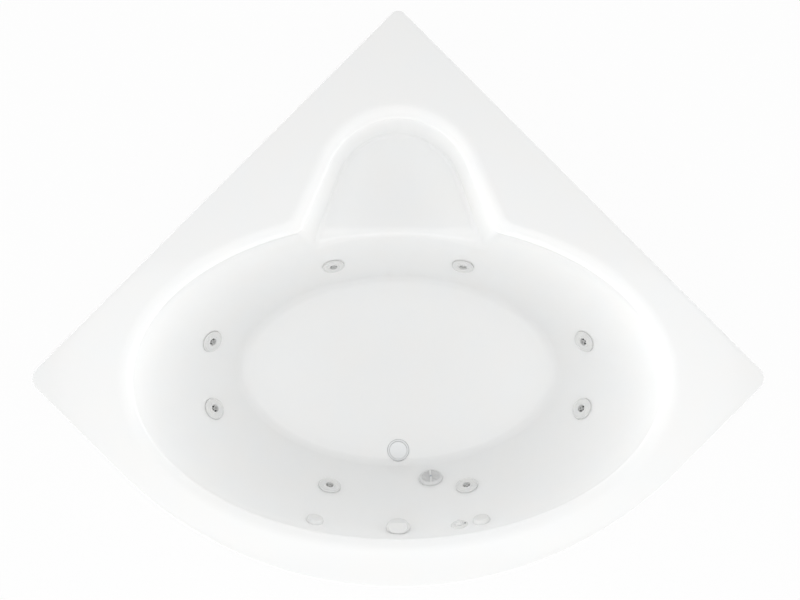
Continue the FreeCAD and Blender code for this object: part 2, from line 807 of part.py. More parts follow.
def jet_ring():
    """A jet's visible ring, which turns on the flange to set the flow."""
    low = size("jet_flange_thickness") + size("gap")
    top = low + size("ring_height")
    disc = cylinder(size("ring_radius"), low, top)
    rim = [edge for edge in disc.Edges if edge.BoundBox.ZMin > top - 0.01]
    disc = disc.makeFillet(size("ring_lip_width") / 2, rim)
    dish = tube(size("ring_radius") - size("ring_lip_width"), size("ring_collar_radius"),
                top - size("ring_dish"), top + OVERSHOOT)
    skirt = cylinder(size("jet_bore_radius") - size("gap"), -size("ring_skirt"), low + OVERSHOOT)
    mouth = hole(size("nozzle_bore_radius"), -size("ring_skirt"), top)
    return disc.cut(dish).fuse(skirt).cut(ball_socket().fuse(mouth)).removeSplitter()


def jet_nozzle():
    """A jet's ball with its bore and the four vanes that straighten the water."""
    centre = Vector(0, 0, -size("ball_set_back"))
    ball = Part.makeSphere(size("ball_radius"), centre)
    face = centre.z + size("ball_face")
    ball = ball.common(cylinder(size("ball_radius") + OVERSHOOT, centre.z - size("ball_face"), face))
    bore = hole(size("nozzle_bore_radius"), centre.z - size("ball_radius"), face)
    span = 2 * size("nozzle_bore_radius") + OVERSHOOT
    vane_top = face - size("vane_thickness")
    vane_low = vane_top - size("vane_depth")
    vanes = block(span, size("vane_thickness"), vane_low, vane_top).fuse(
        block(size("vane_thickness"), span, vane_low, vane_top))
    return ball.cut(bore).fuse(vanes).removeSplitter()


body_shape, ring_shape, nozzle_shape = jet_body(), jet_ring(), jet_nozzle()
for name, frame in JETS:
    jet_bodies.append(in_place(body_shape, frame))
    seal_and_nut(size("jet_barrel_radius"), frame)
    keep(f"jet_ring_{name}", feature(f"jet_ring_{name}", ring_shape, frame))
    keep(f"jet_nozzle_{name}", feature(f"jet_nozzle_{name}", nozzle_shape, frame))
group("jet_bodies", jet_bodies)


# ------------------------------------------------------------------ controls on the front wall
air_bodies = []
for side, frame in AIR_CONTROLS:
    body = turned(f"air_body_{side}", [
        ("air_spindle_radius + gap", "air_flange_thickness"),
        ("air_flange_radius", "air_flange_thickness"), ("air_flange_radius", "0"),
        ("air_shank_radius", "0"), ("air_shank_radius", "-air_shank_length"),
        ("air_hose_radius", "-air_shank_length"),
        ("air_hose_radius", "-air_shank_length - air_spigot_length"),
        ("air_hose_bore", "-air_shank_length - air_spigot_length"),
        ("air_hose_bore", "-air_spindle_length - air_spindle_room"),
        ("air_spindle_radius + gap", "-air_spindle_length - air_spindle_room")], frame)
    air_bodies.append(body)
    seal_and_nut(size("air_shank_radius"), frame)
    keep(f"air_knob_{side}", turned(f"air_knob_{side}", [
        ("0", "air_knob_height"), ("air_knob_face_radius - air_knob_edge", "air_knob_height"),
        ("air_knob_face_radius", "air_knob_height - air_knob_edge"),
        ("air_knob_radius", "air_knob_edge + gap"),
        ("air_knob_radius", "gap"), ("air_flange_radius + gap", "gap"),
        ("air_flange_radius + gap", "air_flange_thickness + gap"),
        ("air_spindle_radius", "air_flange_thickness + gap"),
        ("air_spindle_radius", "-air_spindle_length"), ("0", "-air_spindle_length")], frame))
doc.recompute()
group("air_control_bodies", [body.Shape.copy() for body in air_bodies])

keep("switch_body", turned("switch_body", [
    ("button_radius + gap", "switch_flange_thickness"),
    ("switch_flange_radius - switch_bevel", "switch_flange_thickness"),
    ("switch_flange_radius", "switch_flange_thickness / 2"), ("switch_flange_radius", "0"),
    ("switch_shank_radius", "0"), ("switch_shank_radius", "-switch_shank_length"),
    ("air_hose_radius", "-switch_shank_length"),
    ("air_hose_radius", "-switch_shank_length - air_spigot_length"),
    ("air_hose_bore", "-switch_shank_length - air_spigot_length"),
    ("air_hose_bore", "-switch_shank_length + switch_floor"),
    ("button_radius + gap", "-switch_shank_length + switch_floor")], switch_frame))
seal_and_nut(size("switch_shank_radius"), switch_frame)
button_top = "switch_flange_thickness + button_proud"
keep("switch_button", turned("switch_button", [
    ("0", button_top), ("button_radius - button_bevel", button_top),
    ("button_radius", f"{button_top} - button_bevel"),
    ("button_radius", f"{button_top} - button_length"),
    ("0", f"{button_top} - button_length")], switch_frame))

keep("overflow_collar", turned("overflow_collar", [
    ("knob_stem_radius + gap", "collar_thickness"), ("collar_radius", "collar_thickness"),
    ("collar_radius", "0"), ("collar_neck_radius", "0"),
    ("collar_neck_radius", "-collar_neck_length"),
    ("collar_neck_radius - collar_neck_wall", "-collar_neck_length"),
    ("collar_neck_radius - collar_neck_wall", "-collar_thickness"),
    ("knob_stem_radius + gap", "-collar_thickness")], overflow_frame))
keep("overflow_knob", turned("overflow_knob", [
    ("0", "knob_height"), ("knob_face_radius - knob_bevel", "knob_height"),
    ("knob_face_radius", "knob_height - knob_bevel_drop"), ("knob_radius", "knob_height / 2"),
    ("knob_radius", "collar_thickness + gap"), ("knob_stem_radius", "collar_thickness + gap"),
    ("knob_stem_radius", "-knob_stem_length"), ("0", "-knob_stem_length")], overflow_frame))
seal(size("collar_neck_radius"), overflow_frame)


# ------------------------------------------------------------------ suction fitting
keep("suction_body", turned("suction_body", [
    ("suction_shank_radius - suction_wall", "suction_flange_thickness"),
    ("suction_radius - suction_flange_inset", "suction_flange_thickness"),
    ("suction_radius - suction_flange_inset", "0"),
    ("suction_shank_radius", "0"), ("suction_shank_radius", "-suction_shank_length"),
    ("suction_shank_radius - suction_wall", "-suction_shank_length")], suction_frame))
seal_and_nut(size("suction_shank_radius"), suction_frame)


def suction_cover():
    """A shallow cover with rows of slots each side of a plain middle bar."""
    low = size("suction_flange_thickness")
    top = low + size("suction_cover_height")
    disc = cylinder(size("suction_radius"), low, top)
    edge = [item for item in disc.Edges if item.BoundBox.ZMin > top - 0.01]
    disc = disc.makeFillet(size("suction_edge_fillet"), edge)
    disc = disc.cut(cylinder(size("suction_radius") - size("suction_rim_width"), low - OVERSHOOT,
                             top - size("suction_top_thickness")))
    rows = int(size("suction_shank_radius") // size("suction_slot_pitch"))
    slots = []
    for row_number in range(-rows, rows + 1):
        y = row_number * size("suction_slot_pitch")
        reach = math.sqrt((size("suction_radius") - size("suction_slot_margin")) ** 2 - y ** 2)
        inner = size("suction_bar_width") / 2
        for side in (-1, 1):
            slots.append(block(reach - inner, size("suction_slot_width"), low, top + OVERSHOOT,
                               side * (reach + inner) / 2, y))
    boss_low = low - size("suction_boss_drop")
    boss = cylinder(size("suction_bar_width") / 2, boss_low, top - OVERSHOOT)
    screw_hole = hole(size("screw_radius") + size("gap"), boss_low, top)
    return disc.cut(slots).fuse(boss).cut(screw_hole).removeSplitter()


keep("suction_cover", feature("suction_cover", suction_cover(), suction_frame))
cover_top = "suction_flange_thickness + suction_cover_height"
keep("suction_screw", turned("suction_screw", [
    ("0", f"{cover_top} + cover_screw_rise"),
    ("cover_screw_radius", f"{cover_top} + cover_screw_rise"),
    ("cover_screw_radius", cover_top), ("screw_radius", cover_top),
    ("screw_radius", "-screw_length"), ("0", "-screw_length")], suction_frame))


# ------------------------------------------------------------------ waste and overflow
def drain_flange():
    """The waste's flange and threaded shank, with a three-legged web that guides the stem."""
    low = -size("drain_shank_length")
    top = size("drain_flange_thickness")
    ring = tube(size("drain_radius"), size("drain_bore_radius"), 0, top)
    shank = tube(size("drain_shank_radius"), size("drain_bore_radius"), low, top)
    web_top = low + size("drain_web_thickness")
    leg_length = size("drain_shank_radius") - OVERSHOOT
    legs = []
    for turn in range(DRAIN_LEGS):
        leg = block(leg_length, size("drain_web_thickness"), low, web_top, leg_length / 2)
        leg.rotate(Vector(), Vector(0, 0, 1), 360 / DRAIN_LEGS * turn)
        legs.append(leg)
    hub_top = web_top + size("drain_hub_rise")
    hub = cylinder(size("stopper_stem_radius") + size("drain_hub_wall"), low, hub_top)
    guide = hole(size("stopper_stem_radius") + size("running_gap"), low, hub_top)
    return ring.fuse([shank, hub] + legs).cut(guide).removeSplitter()


keep("drain_flange", feature("drain_flange", drain_flange(), drain_frame))
disc_low = "drain_flange_thickness + gap"
keep("drain_stopper", turned("drain_stopper", [
    ("0", f"{disc_low} + stopper_thickness"),
    ("stopper_radius - stopper_bevel", f"{disc_low} + stopper_thickness"),
    ("stopper_radius", f"{disc_low} + stopper_thickness - stopper_bevel"),
    ("stopper_radius", disc_low),
    ("stopper_stem_radius", disc_low), ("stopper_stem_radius", "-stopper_stem_length"),
    ("0", "-stopper_stem_length")], drain_frame))

riser_y = basin_y - size("waste_riser_reach")
line = floor_top - size("waste_line_drop")
tailpiece_end = line - size("tailpiece_drop")
shoe_top = floor_under - size("gasket_thickness")
branch_end = riser_y + size("waste_hub_radius")
socket_floor = branch_end - size("waste_hub_radius") / 2


def pipe_along_y(radius, start, end, x, z):
    """A round bar along Y between two places."""
    return Part.makeCylinder(radius, abs(end - start), Vector(x, max(start, end), z), Vector(0, -1, 0))


def drain_shoe():
    """The elbow under the waste: a cup round the shank and a pipe towards the front."""
    low = line - size("waste_pipe_radius") - size("shoe_floor")
    cup = cylinder(size("shoe_radius"), low, shoe_top, 0, drain_y)
    pipe = pipe_along_y(size("waste_pipe_radius"), drain_y, socket_floor, 0, line)
    hollow = cylinder(size("drain_shank_radius") + size("gap"), low + size("shoe_floor"),
                      shoe_top + OVERSHOOT, 0, drain_y)
    bore = pipe_along_y(size("waste_pipe_bore"), drain_y, socket_floor - OVERSHOOT, 0, line)
    return cup.fuse(pipe).cut(hollow.fuse(bore)).removeSplitter()


keep("drain_shoe", feature("drain_shoe", drain_shoe()))
gaskets.append(tube(size("shoe_radius"), size("drain_shank_radius") + size("gap"),
                    shoe_top, floor_under, 0, drain_y))

overflow_z = overflow_frame.Base.z
socket_low = overflow_z - size("elbow_drop")
riser_top = socket_low + size("socket_depth")


def waste_pipe():
    """The tee under the overflow with its tailpiece, and the pipe up to the overflow."""
    hub_low = line - size("waste_hub_height") / 2
    hub_high = line + size("waste_hub_height") / 2
    hub = cylinder(size("waste_hub_radius"), hub_low, hub_high, 0, riser_y)
    riser = cylinder(size("waste_pipe_radius"), tailpiece_end, riser_top, 0, riser_y)
    branch_face = branch_end + size("branch_reach")
    past = branch_face + OVERSHOOT
    branch = pipe_along_y(size("waste_hub_radius"), riser_y, branch_face, 0, line)
    bore = hole(size("waste_pipe_bore"), tailpiece_end, riser_top, 0, riser_y)
    branch_bore = pipe_along_y(size("waste_pipe_bore"), riser_y, past, 0, line)
    socket = pipe_along_y(size("waste_pipe_radius") + size("gap"), socket_floor, past, 0, line)
    return hub.fuse([riser, branch]).cut(bore.fuse([branch_bore, socket])).removeSplitter()


keep("waste_pipe", feature("waste_pipe", waste_pipe()))


def overflow_elbow():
    """The overflow's housing behind the wall, with a socket that points down."""
    wall_gap = size("shell_thickness") + size("gap") + size("gasket_thickness")
    wall = size("elbow_wall")
    neck_end = -size("collar_neck_length")
    back = neck_end - size("elbow_back_length")
    barrel = in_place(cylinder(size("collar_neck_radius") + wall, back, -wall_gap), overflow_frame)
    drop = cylinder(size("waste_pipe_radius") + wall, socket_low, overflow_z, 0, riser_y)
    neck = in_place(hole(size("collar_neck_radius") + size("gap"), neck_end, -wall_gap), overflow_frame)
    chamber = in_place(cylinder(size("waste_pipe_bore"), back + wall, neck_end), overflow_frame)
    socket = cylinder(size("waste_pipe_radius") + size("gap"), socket_low - OVERSHOOT, riser_top,
                      0, riser_y)
    down = cylinder(size("waste_pipe_bore"), riser_top - OVERSHOOT,
                    overflow_z - size("collar_neck_radius"), 0, riser_y)
    return barrel.fuse(drop).cut(neck.fuse([chamber, socket, down])).removeSplitter()


keep("overflow_elbow", feature("overflow_elbow", overflow_elbow()))


# ------------------------------------------------------------------ pump
motor_start = basin_y + size("volute_depth") / 2
pump_frame = Placement(Vector(pump_x, basin_y, axis_z), Rotation(Vector(1, 0, 0), -90))
volute_half = size("volute_depth") / 2


def pump_volute():
    """The wet end: a round case with its inlet in front and its outlet towards the jets."""
    case = cylinder(size("volute_radius"), -volute_half, volute_half)
    inlet_face = -volute_half - size("inlet_length")
    inlet = cylinder(size("inlet_radius"), inlet_face, -volute_half + OVERSHOOT)
    side = Vector(-1, 0, 0)
    at = Vector(0, -size("outlet_offset"), 0)
    outlet = Part.makeCylinder(size("tee_radius"), size("outlet_reach"), at, side)
    wall = size("volute_wall")
    room = cylinder(size("volute_radius") - wall, -volute_half + wall, volute_half - wall)
    mouth = cylinder(size("suction_pipe_radius") + size("gap"), inlet_face - OVERSHOOT, -volute_half)
    eye = cylinder(size("suction_pipe_radius") - size("hose_wall"), -volute_half - OVERSHOOT, 0)
    rise = Part.makeCylinder(size("hose_radius") - size("hose_wall"), size("outlet_reach") + OVERSHOOT,
                             at, side)
    shaft_hole = cylinder(size("shaft_radius") + size("gap"), 0, volute_half + OVERSHOOT)
    return case.fuse([inlet, outlet]).cut(room.fuse([mouth, eye, rise, shaft_hole])).removeSplitter()


keep("pump_volute", feature("pump_volute", pump_volute(), pump_frame))

motor_end = volute_half + size("motor_length")
rotor_end = motor_end + size("end_bell_length") - size("shaft_end_gap")
core_start = volute_half + (size("motor_length") - size("core_length")) / 2


def pump_rotor():
    """The turning part: impeller with its blades, shaft and motor core."""
    low, high = -size("impeller_depth") / 2, size("impeller_depth") / 2
    hub = cylinder(size("impeller_hub_radius"), low, high)
    disc = cylinder(size("impeller_radius"), high - size("impeller_disc"), high)
    blades = []
    for turn in range(IMPELLER_BLADES):
        blade = block(size("impeller_radius") - size("blade_inset"), size("blade_thickness"), low,
                      high - size("blade_set_back"), size("impeller_radius") / 2)
        blade.rotate(Vector(), Vector(0, 0, 1), 360 / IMPELLER_BLADES * turn)
        blades.append(blade)
    shaft = cylinder(size("shaft_radius"), 0, rotor_end)
    core = cylinder(size("core_radius"), core_start, core_start + size("core_length"))
    return hub.fuse([disc, shaft, core] + blades).removeSplitter()


keep("pump_rotor", feature("pump_rotor", pump_rotor(), pump_frame))

bearing_bore = size("shaft_radius") + size("running_gap")
BEARINGS = [volute_half + size("motor_wall") + size("front_bearing_gap"),
            motor_end + size("rear_bearing_gap")]
group("motor_bearings", [in_place(tube(size("bearing_radius"), bearing_bore, start,
                                       start + size("bearing_width")), pump_frame)
                         for start in BEARINGS])


def motor_housing():
    """The motor's body: an open drum with fins and a front wall that holds a bearing."""
    wall = size("motor_wall")
    drum = cylinder(size("motor_radius"), volute_half, motor_end)
    fins = []
    for turn in range(MOTOR_FINS):
        fin = block(size("fin_rise") + OVERSHOOT, size("fin_thickness"),
                    volute_half + size("fin_start"), motor_end - size("fin_end_gap"),
                    size("motor_radius") + (size("fin_rise") - OVERSHOOT) / 2)
        fin.rotate(Vector(), Vector(0, 0, 1), 360 / MOTOR_FINS * (turn + 0.5))
        fins.append(fin)
    boss_top = BEARINGS[0] + size("bearing_width")
    boss = tube(size("bearing_radius") + size("bearing_boss_wall"), size("bearing_radius"),
                volute_half + OVERSHOOT, boss_top)
    room = cylinder(size("motor_radius") - wall, volute_half + wall, motor_end + OVERSHOOT)
    eye = hole(size("bearing_radius") - size("bearing_shoulder"), volute_half, volute_half + wall)
    seat = cylinder(size("bearing_radius"), BEARINGS[0], boss_top + OVERSHOOT)
    return drum.cut(room).fuse(boss).cut(eye.fuse(seat)).fuse(fins).removeSplitter()


keep("motor_housing", feature("motor_housing", motor_housing(), pump_frame))


def motor_end_bell():
    """The motor's back cover, with a seat for the second bearing and cooling slots."""
    end = motor_end + size("end_bell_length")
    inner = end - size("motor_wall")
    start = motor_end - OVERSHOOT
    bell = cylinder(size("motor_radius"), motor_end, end)
    edge = [item for item in bell.Edges if item.BoundBox.ZMin > end - 0.01]
    bell = bell.makeFillet(size("bell_fillet"), edge)
    room = tube(size("motor_radius") - size("motor_wall"),
                size("bearing_radius") + size("bearing_boss_wall"), start, inner)
    seat = cylinder(size("bearing_radius"), start, BEARINGS[1] + size("bearing_width"))
    shaft_room = cylinder(size("bearing_radius") - size("bearing_shoulder"), start, inner)
    slots = []
    for turn in range(BELL_SLOTS):
        slot = block(size("bell_slot_length"), size("bell_slot_width"), inner - OVERSHOOT,
                     end + OVERSHOOT, size("bell_slot_radius"))
        slot.rotate(Vector(), Vector(0, 0, 1), 360 / BELL_SLOTS * turn)
        slots.append(slot)
    return bell.cut(room.fuse([seat, shaft_room])).cut(slots).removeSplitter()


keep("motor_end_bell", feature("motor_end_bell", motor_end_bell(), pump_frame))
stator = tube(size("motor_radius") - size("motor_wall"), size("core_radius") + size("stator_gap"),
              core_start, core_start + size("core_length"))
keep("motor_stator", feature("motor_stator", stator, pump_frame))


def pump_bracket():
    """A plate on the pump's rail with two saddles under the motor and one under the case."""
    low = rail_top
    top = low + size("bracket_thickness")
    back = motor_start + size("motor_length") - size("bracket_end_gap")
    front = basin_y - volute_half
    base = Part.makeBox(size("bracket_width"), back - front, size("bracket_thickness"),
                        Vector(pump_x - size("bracket_width") / 2, front, low))
    saddles = []
    for y in (motor_start + size("saddle_front"), back - size("saddle_back")):
        saddle = Part.makeBox(size("saddle_width"), size("saddle_thickness"),
                              size("pump_axis_rise") - size("saddle_drop"),
                              Vector(pump_x - size("saddle_width") / 2, y, top))
        saddles.append(saddle)
    fins_radius = size("motor_radius") + size("fin_rise") + size("hole_gap")
    drum = in_place(hole(fins_radius, volute_half, rotor_end), pump_frame)
    case = in_place(hole(size("volute_radius"), -volute_half, volute_half), pump_frame)
    return base.fuse([item.cut(drum) for item in saddles]).cut(case).removeSplitter()


keep("pump_bracket", feature("pump_bracket", pump_bracket()))


motor_top = axis_z + size("motor_radius")
box_y = motor_start + size("motor_length") / 2
box_top = motor_top + size("box_height")
gland_y = box_y + size("box_length") / 2
gland_z = box_top - size("gland_radius") - size("gland_drop")
air_y = box_y - size("box_length") / 2
control_air = Vector(pump_x, air_y - size("air_spigot_length"), gland_z)


def control_box():
    """The motor's terminal box, with the gland that the supply cable goes into."""
    wall = size("box_wall")
    box = block(size("box_width"), size("box_length"), motor_top - size("box_sink"), box_top,
                pump_x, box_y)
    room = block(size("box_width") - 2 * wall, size("box_length") - 2 * wall,
                 motor_top + size("fin_rise") + size("hole_gap") + wall, box_top - wall, pump_x, box_y)
    gland_end = gland_y + size("gland_length")
    gland = pipe_along_y(size("gland_radius"), gland_y - OVERSHOOT, gland_end, pump_x, gland_z)
    bore = pipe_along_y(size("gland_bore"), gland_y - wall - OVERSHOOT, gland_end + OVERSHOOT,
                        pump_x, gland_z)
    air = pipe_along_y(size("air_hose_radius"), air_y + OVERSHOOT, control_air.y, pump_x, gland_z)
    fins_radius = size("motor_radius") + size("fin_rise") + size("gap")
    motor = in_place(cylinder(fins_radius, volute_half, rotor_end), pump_frame)
    return box.fuse([gland, air]).cut(room.fuse([bore, motor])).removeSplitter()


keep("control_box", feature("control_box", control_box()))


# ------------------------------------------------------------------ hoses
BEND_SHARE = 0.45


def path_of(points):
    """Straight runs joined by tangent arcs, each as large as its two runs allow."""
    edges, last = [], points[0]
    for before, corner, after in zip(points, points[1:], points[2:]):
        back = (before - corner)
        ahead = (after - corner)
        reach = BEND_SHARE * min(back.Length, ahead.Length)
        half_turn = (math.pi - back.getAngle(ahead)) / 2
        radius = reach / math.tan(half_turn)
        back, ahead = back.normalize(), ahead.normalize()
        first, final = corner + back * reach, corner + ahead * reach
        middle = (back + ahead).normalize() * (radius / math.cos(half_turn) - radius)
        edges.append(Part.LineSegment(last, first).toShape())
        edges.append(Part.Arc(first, corner + middle, final).toShape())
        last = final
    edges.append(Part.LineSegment(last, points[-1]).toShape())
    return Part.Wire(edges)


def hose(points, radius, bore=None):
    """A hose along its points, hollow where a bore is given."""
    path = path_of(points)
    run = points[1] - points[0]

    def swept(width):
        ring = Part.Wire([Part.Circle(points[0], run, width).toShape()])
        return path.makePipeShell([ring], True, False)
    solid = swept(radius)
    return solid.cut(swept(bore)) if bore else solid


def port(frame, x, y, z, direction):
    """A port's place and the way out of it, in the bath's own axes."""
    return frame.multVec(Vector(x, y, z)), frame.Rotation.multVec(Vector(*direction))


LEAD_SHARE = 0.3
AIR_LEAD = 30.0
AIR_FIRST_BEND = 45.0
AIR_LAST_BEND = 50.0
SUCTION_LEAD = 70.0
CABLE_LEAD = 40.0


def between(first, second, radius, bore):
    """A hose from one port to another that leaves both of them square."""
    (start, out), (end, back) = first, second
    lead = LEAD_SHARE * (end - start).Length
    return hose([start, start + out * lead, end + back * lead, end], radius, bore)


def water_port(frame, side):
    return port(frame, side * size("jet_port_reach"), 0, -size("jet_port_set_back"), (side, 0, 0))


def air_port(frame, side):
    return port(frame, side * size("jet_air_port_reach"), size("jet_air_port_height"),
                -size("jet_port_set_back"), (side, 0, 0))


tee_half = size("tee_length") / 2
hose_bore = size("hose_radius") - size("hose_wall")


def discharge_tee():
    """The tee that takes the pump's water to the jets on both sides."""
    run = pipe_along_y(size("tee_radius"), basin_y - tee_half, basin_y + tee_half, tee_x, tee_z)
    branch = Part.makeCylinder(size("tee_radius"), size("tee_radius"), Vector(tee_x, basin_y, tee_z),
                               Vector(1, 0, 0))
    bore = pipe_along_y(hose_bore, basin_y - tee_half - OVERSHOOT, basin_y + tee_half + OVERSHOOT,
                        tee_x, tee_z)
    branch_bore = Part.makeCylinder(hose_bore, size("tee_radius") + OVERSHOOT,
                                    Vector(tee_x, basin_y, tee_z), Vector(1, 0, 0))
    return run.fuse(branch).cut(bore.fuse(branch_bore)).removeSplitter()


frames = [frame for name, frame in JETS]
water = [discharge_tee()]
tee_front = (Vector(tee_x, basin_y - tee_half, tee_z), Vector(0, -1, 0))
tee_back = (Vector(tee_x, basin_y + tee_half, tee_z), Vector(0, 1, 0))
water.append(between(water_port(frames[1], -1), tee_front, size("hose_radius"), hose_bore))
water.append(between(tee_back, water_port(frames[2], 1), size("hose_radius"), hose_bore))
air_hoses = []
for at, (frame, following) in enumerate(zip(frames, frames[1:])):
    if at != 1:
        water.append(between(water_port(frame, -1), water_port(following, 1),
                             size("hose_radius"), hose_bore))
    air_hoses.append(between(air_port(frame, -1), air_port(following, 1),
                             size("air_hose_radius"), size("air_hose_bore")))
for frame, side in ((frames[0], 1), (frames[-1], -1)):
    place, out = water_port(frame, side)
    water.append(Part.makeCylinder(size("jet_port_radius"), size("hose_wall"), place, out))
group("water_hoses", water)

for (side, control), frame, end_side in ((AIR_CONTROLS[1], frames[0], 1), (AIR_CONTROLS[0], frames[-1], -1)):
    start, out = port(control, 0, 0, -size("air_shank_length") - size("air_spigot_length"), (0, 0, -1))
    end, back = air_port(frame, end_side)
    fall = Vector(0, 0, end.z - start.z)
    points = [start, start + out * AIR_LEAD, start + out * AIR_FIRST_BEND + fall * 0.33,
              end + back * AIR_LAST_BEND - fall * 0.2, end + back * AIR_LEAD, end]
    air_hoses.append(hose(points, size("air_hose_radius"), size("air_hose_bore")))
group("air_hoses", air_hoses)

suction_end, suction_out = port(suction_frame, 0, 0, -size("suction_shank_length"), (0, 0, -1))
inlet_end = Vector(pump_x, basin_y - volute_half - size("gap"), axis_z)
suction_route = [
    suction_end,
    suction_end + suction_out * SUCTION_LEAD,
    Vector(320, -668, 132),
    Vector(520, -590, 132),
    Vector(pump_x, -440, axis_z),
    inlet_end,
]
keep("suction_pipe", feature("suction_pipe", hose(
    suction_route, size("suction_pipe_radius"), size("suction_pipe_radius") - size("hose_wall"))))

switch_start, switch_out = port(
    switch_frame, 0, 0, -size("switch_shank_length") - size("air_spigot_length"), (0, 0, -1))
switch_route = [
    switch_start,
    switch_start + switch_out * AIR_LEAD,
    Vector(228, -774, 398),
    Vector(336, -773, 375),
    Vector(445, -700, 350),
    Vector(600, -590, 310),
    Vector(725, -450, 280),
    Vector(pump_x, -330, control_air.z),
    control_air,
]
keep("switch_tube", feature("switch_tube", hose(
    switch_route, size("air_hose_radius"), size("air_hose_bore"))))

cable_side = size("collar_neck_radius") + size("elbow_wall")
cable_back = -size("collar_neck_length") - size("elbow_back_length") / 2
cable_start, cable_out = port(overflow_frame, cable_side, 0, cable_back, (1, 0, 0))
shoe_side = Vector(-size("shoe_radius"), drain_y, (line + shoe_top) / 2)
cable_route = [
    cable_start,
    cable_start + cable_out * CABLE_LEAD,
    Vector(-105, -738, 320),
    Vector(-110, -730, 200),
    Vector(-105, -650, 110),
    Vector(-90, -550, 78),
    shoe_side - Vector(CABLE_LEAD, 0, 0),
    shoe_side,
]
keep("drain_cable", feature("drain_cable", hose(cable_route, size("cable_radius"))))

group("wall_gaskets", gaskets)
group("wall_nuts", nuts)


# ------------------------------------------------------------------ checks and files
doc.recompute()
for item in doc.Objects:
    if {"Invalid", "Error"} & set(item.State):
        raise RuntimeError(f"{item.Label} failed: {item.State}")
for label, item in made.items():
    if item.Shape.isNull() or not item.Shape.isValid() or not item.Shape.Solids:
        raise RuntimeError(f"{label} has no valid solid")
os.makedirs("parts", exist_ok=True)
for label, item in made.items():
    item.Shape.exportStep(f"parts/{label}.step")
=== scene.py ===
"""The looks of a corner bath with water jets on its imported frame: shell, fittings, cradle and pump."""
import json
import math

import bmesh
import bpy
import numpy as np
from mathutils import Matrix, Vector


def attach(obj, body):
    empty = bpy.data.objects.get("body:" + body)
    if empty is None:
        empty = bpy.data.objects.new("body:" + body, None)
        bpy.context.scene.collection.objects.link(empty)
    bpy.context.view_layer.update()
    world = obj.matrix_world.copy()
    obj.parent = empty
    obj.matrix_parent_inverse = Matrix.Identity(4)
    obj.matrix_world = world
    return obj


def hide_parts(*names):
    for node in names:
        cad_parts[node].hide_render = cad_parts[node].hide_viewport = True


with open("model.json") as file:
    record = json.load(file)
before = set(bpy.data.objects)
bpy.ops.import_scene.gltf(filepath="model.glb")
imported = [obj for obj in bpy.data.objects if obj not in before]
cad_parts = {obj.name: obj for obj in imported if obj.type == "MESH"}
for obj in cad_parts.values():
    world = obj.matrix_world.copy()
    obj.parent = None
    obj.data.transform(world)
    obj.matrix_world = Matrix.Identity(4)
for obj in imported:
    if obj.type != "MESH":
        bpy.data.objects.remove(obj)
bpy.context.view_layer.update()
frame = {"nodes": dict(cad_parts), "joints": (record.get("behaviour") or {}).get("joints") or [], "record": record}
nodes = frame["nodes"]
joints = {joint["name"]: joint for joint in frame["joints"]}

MM = 0.001
SHARP_ANGLE = math.radians(32)
EDGE_STEPS = 5
NOISE_ROUGHNESS = 0.55


# ---- Nodes and colours ----

def add(tree, kind, sockets=(), **settings):
    """Adds a node. Another node's socket is linked to its input, and a plain value is set on it."""
    node = tree.nodes.new(kind)
    for name, value in settings.items():
        setattr(node, name, value)
    for name, value in dict(sockets).items():
        if isinstance(value, bpy.types.NodeSocket):
            tree.links.new(value, node.inputs[name])
        else:
            node.inputs[name].default_value = value
    return node


def linear(code):
    """An sRGB hex colour as the linear colour that a shader takes."""
    parts = [int(code[at:at + 2], 16) / 255 for at in (1, 3, 5)]
    return [part / 12.92 if part <= 0.04045 else ((part + 0.055) / 1.055) ** 2.4
            for part in parts] + [1.0]


def start_material(name, **surface):
    """A new material: its tree, its shader, and the place on the piece in metres."""
    material = bpy.data.materials.new(name)
    material.use_nodes = True
    tree = material.node_tree
    tree.nodes.clear()
    shader = add(tree, "ShaderNodeBsdfPrincipled", surface)
    output = add(tree, "ShaderNodeOutputMaterial")
    tree.links.new(shader.outputs["BSDF"], output.inputs["Surface"])
    place = add(tree, "ShaderNodeTexCoord").outputs["Object"]
    return material, tree, shader, place


def speckle(tree, place, size_mm, detail=3.0):
    """Cloudy noise whose blotches are about as wide as that size. Gives 0 to 1."""
    return add(tree, "ShaderNodeTexNoise", {
        "Vector": place, "Scale": 0.5 / (size_mm * MM), "Detail": detail,
        "Roughness": NOISE_ROUGHNESS}).outputs["Fac"]


def between(tree, share, low, high):
    """A number that goes from low to high as the share goes from 0.3 to 0.7, noise's usual span."""
    node = add(tree, "ShaderNodeMapRange", {"Value": share, "From Min": 0.3, "From Max": 0.7,
                                            "To Min": low, "To Max": high})
    return node.outputs["Result"]


def tint(tree, share, *stops):
    """A colour from a ramp of (place, hex colour) stops."""
    ramp = add(tree, "ShaderNodeValToRGB", {"Fac": share})
    elements = ramp.color_ramp.elements
    while len(elements) < len(stops):
        elements.new(0.5)
    for element, (at, code) in zip(elements, stops):
        element.position = at
        element.color = linear(code)
    return ramp.outputs["Color"]


def relief(tree, shader, height, depth_mm, strength):
    """Raises the surface by a pattern whose full height is that depth."""
    bump = add(tree, "ShaderNodeBump", {"Height": height, "Distance": depth_mm * MM,
                                        "Strength": strength})
    tree.links.new(bump.outputs["Normal"], shader.inputs["Normal"])


# ---- Materials ----

def cast_acrylic():
    """Cast acrylic sheet, thermoformed: deep gloss, with the faint long waves of a drawn sheet."""
    material, tree, shader, place = start_material(
        "cast_acrylic", IOR=1.49, Roughness=0.1)
    wave = speckle(tree, place, 60, detail=1.5)
    tree.links.new(tint(tree, wave, (0.3, "#F7F8F8"), (0.7, "#F8F8F7")), shader.inputs["Base Color"])
    tree.links.new(between(tree, speckle(tree, place, 3), 0.09, 0.14), shader.inputs["Roughness"])
    relief(tree, shader, wave, 0.12, 0.5)
    return material


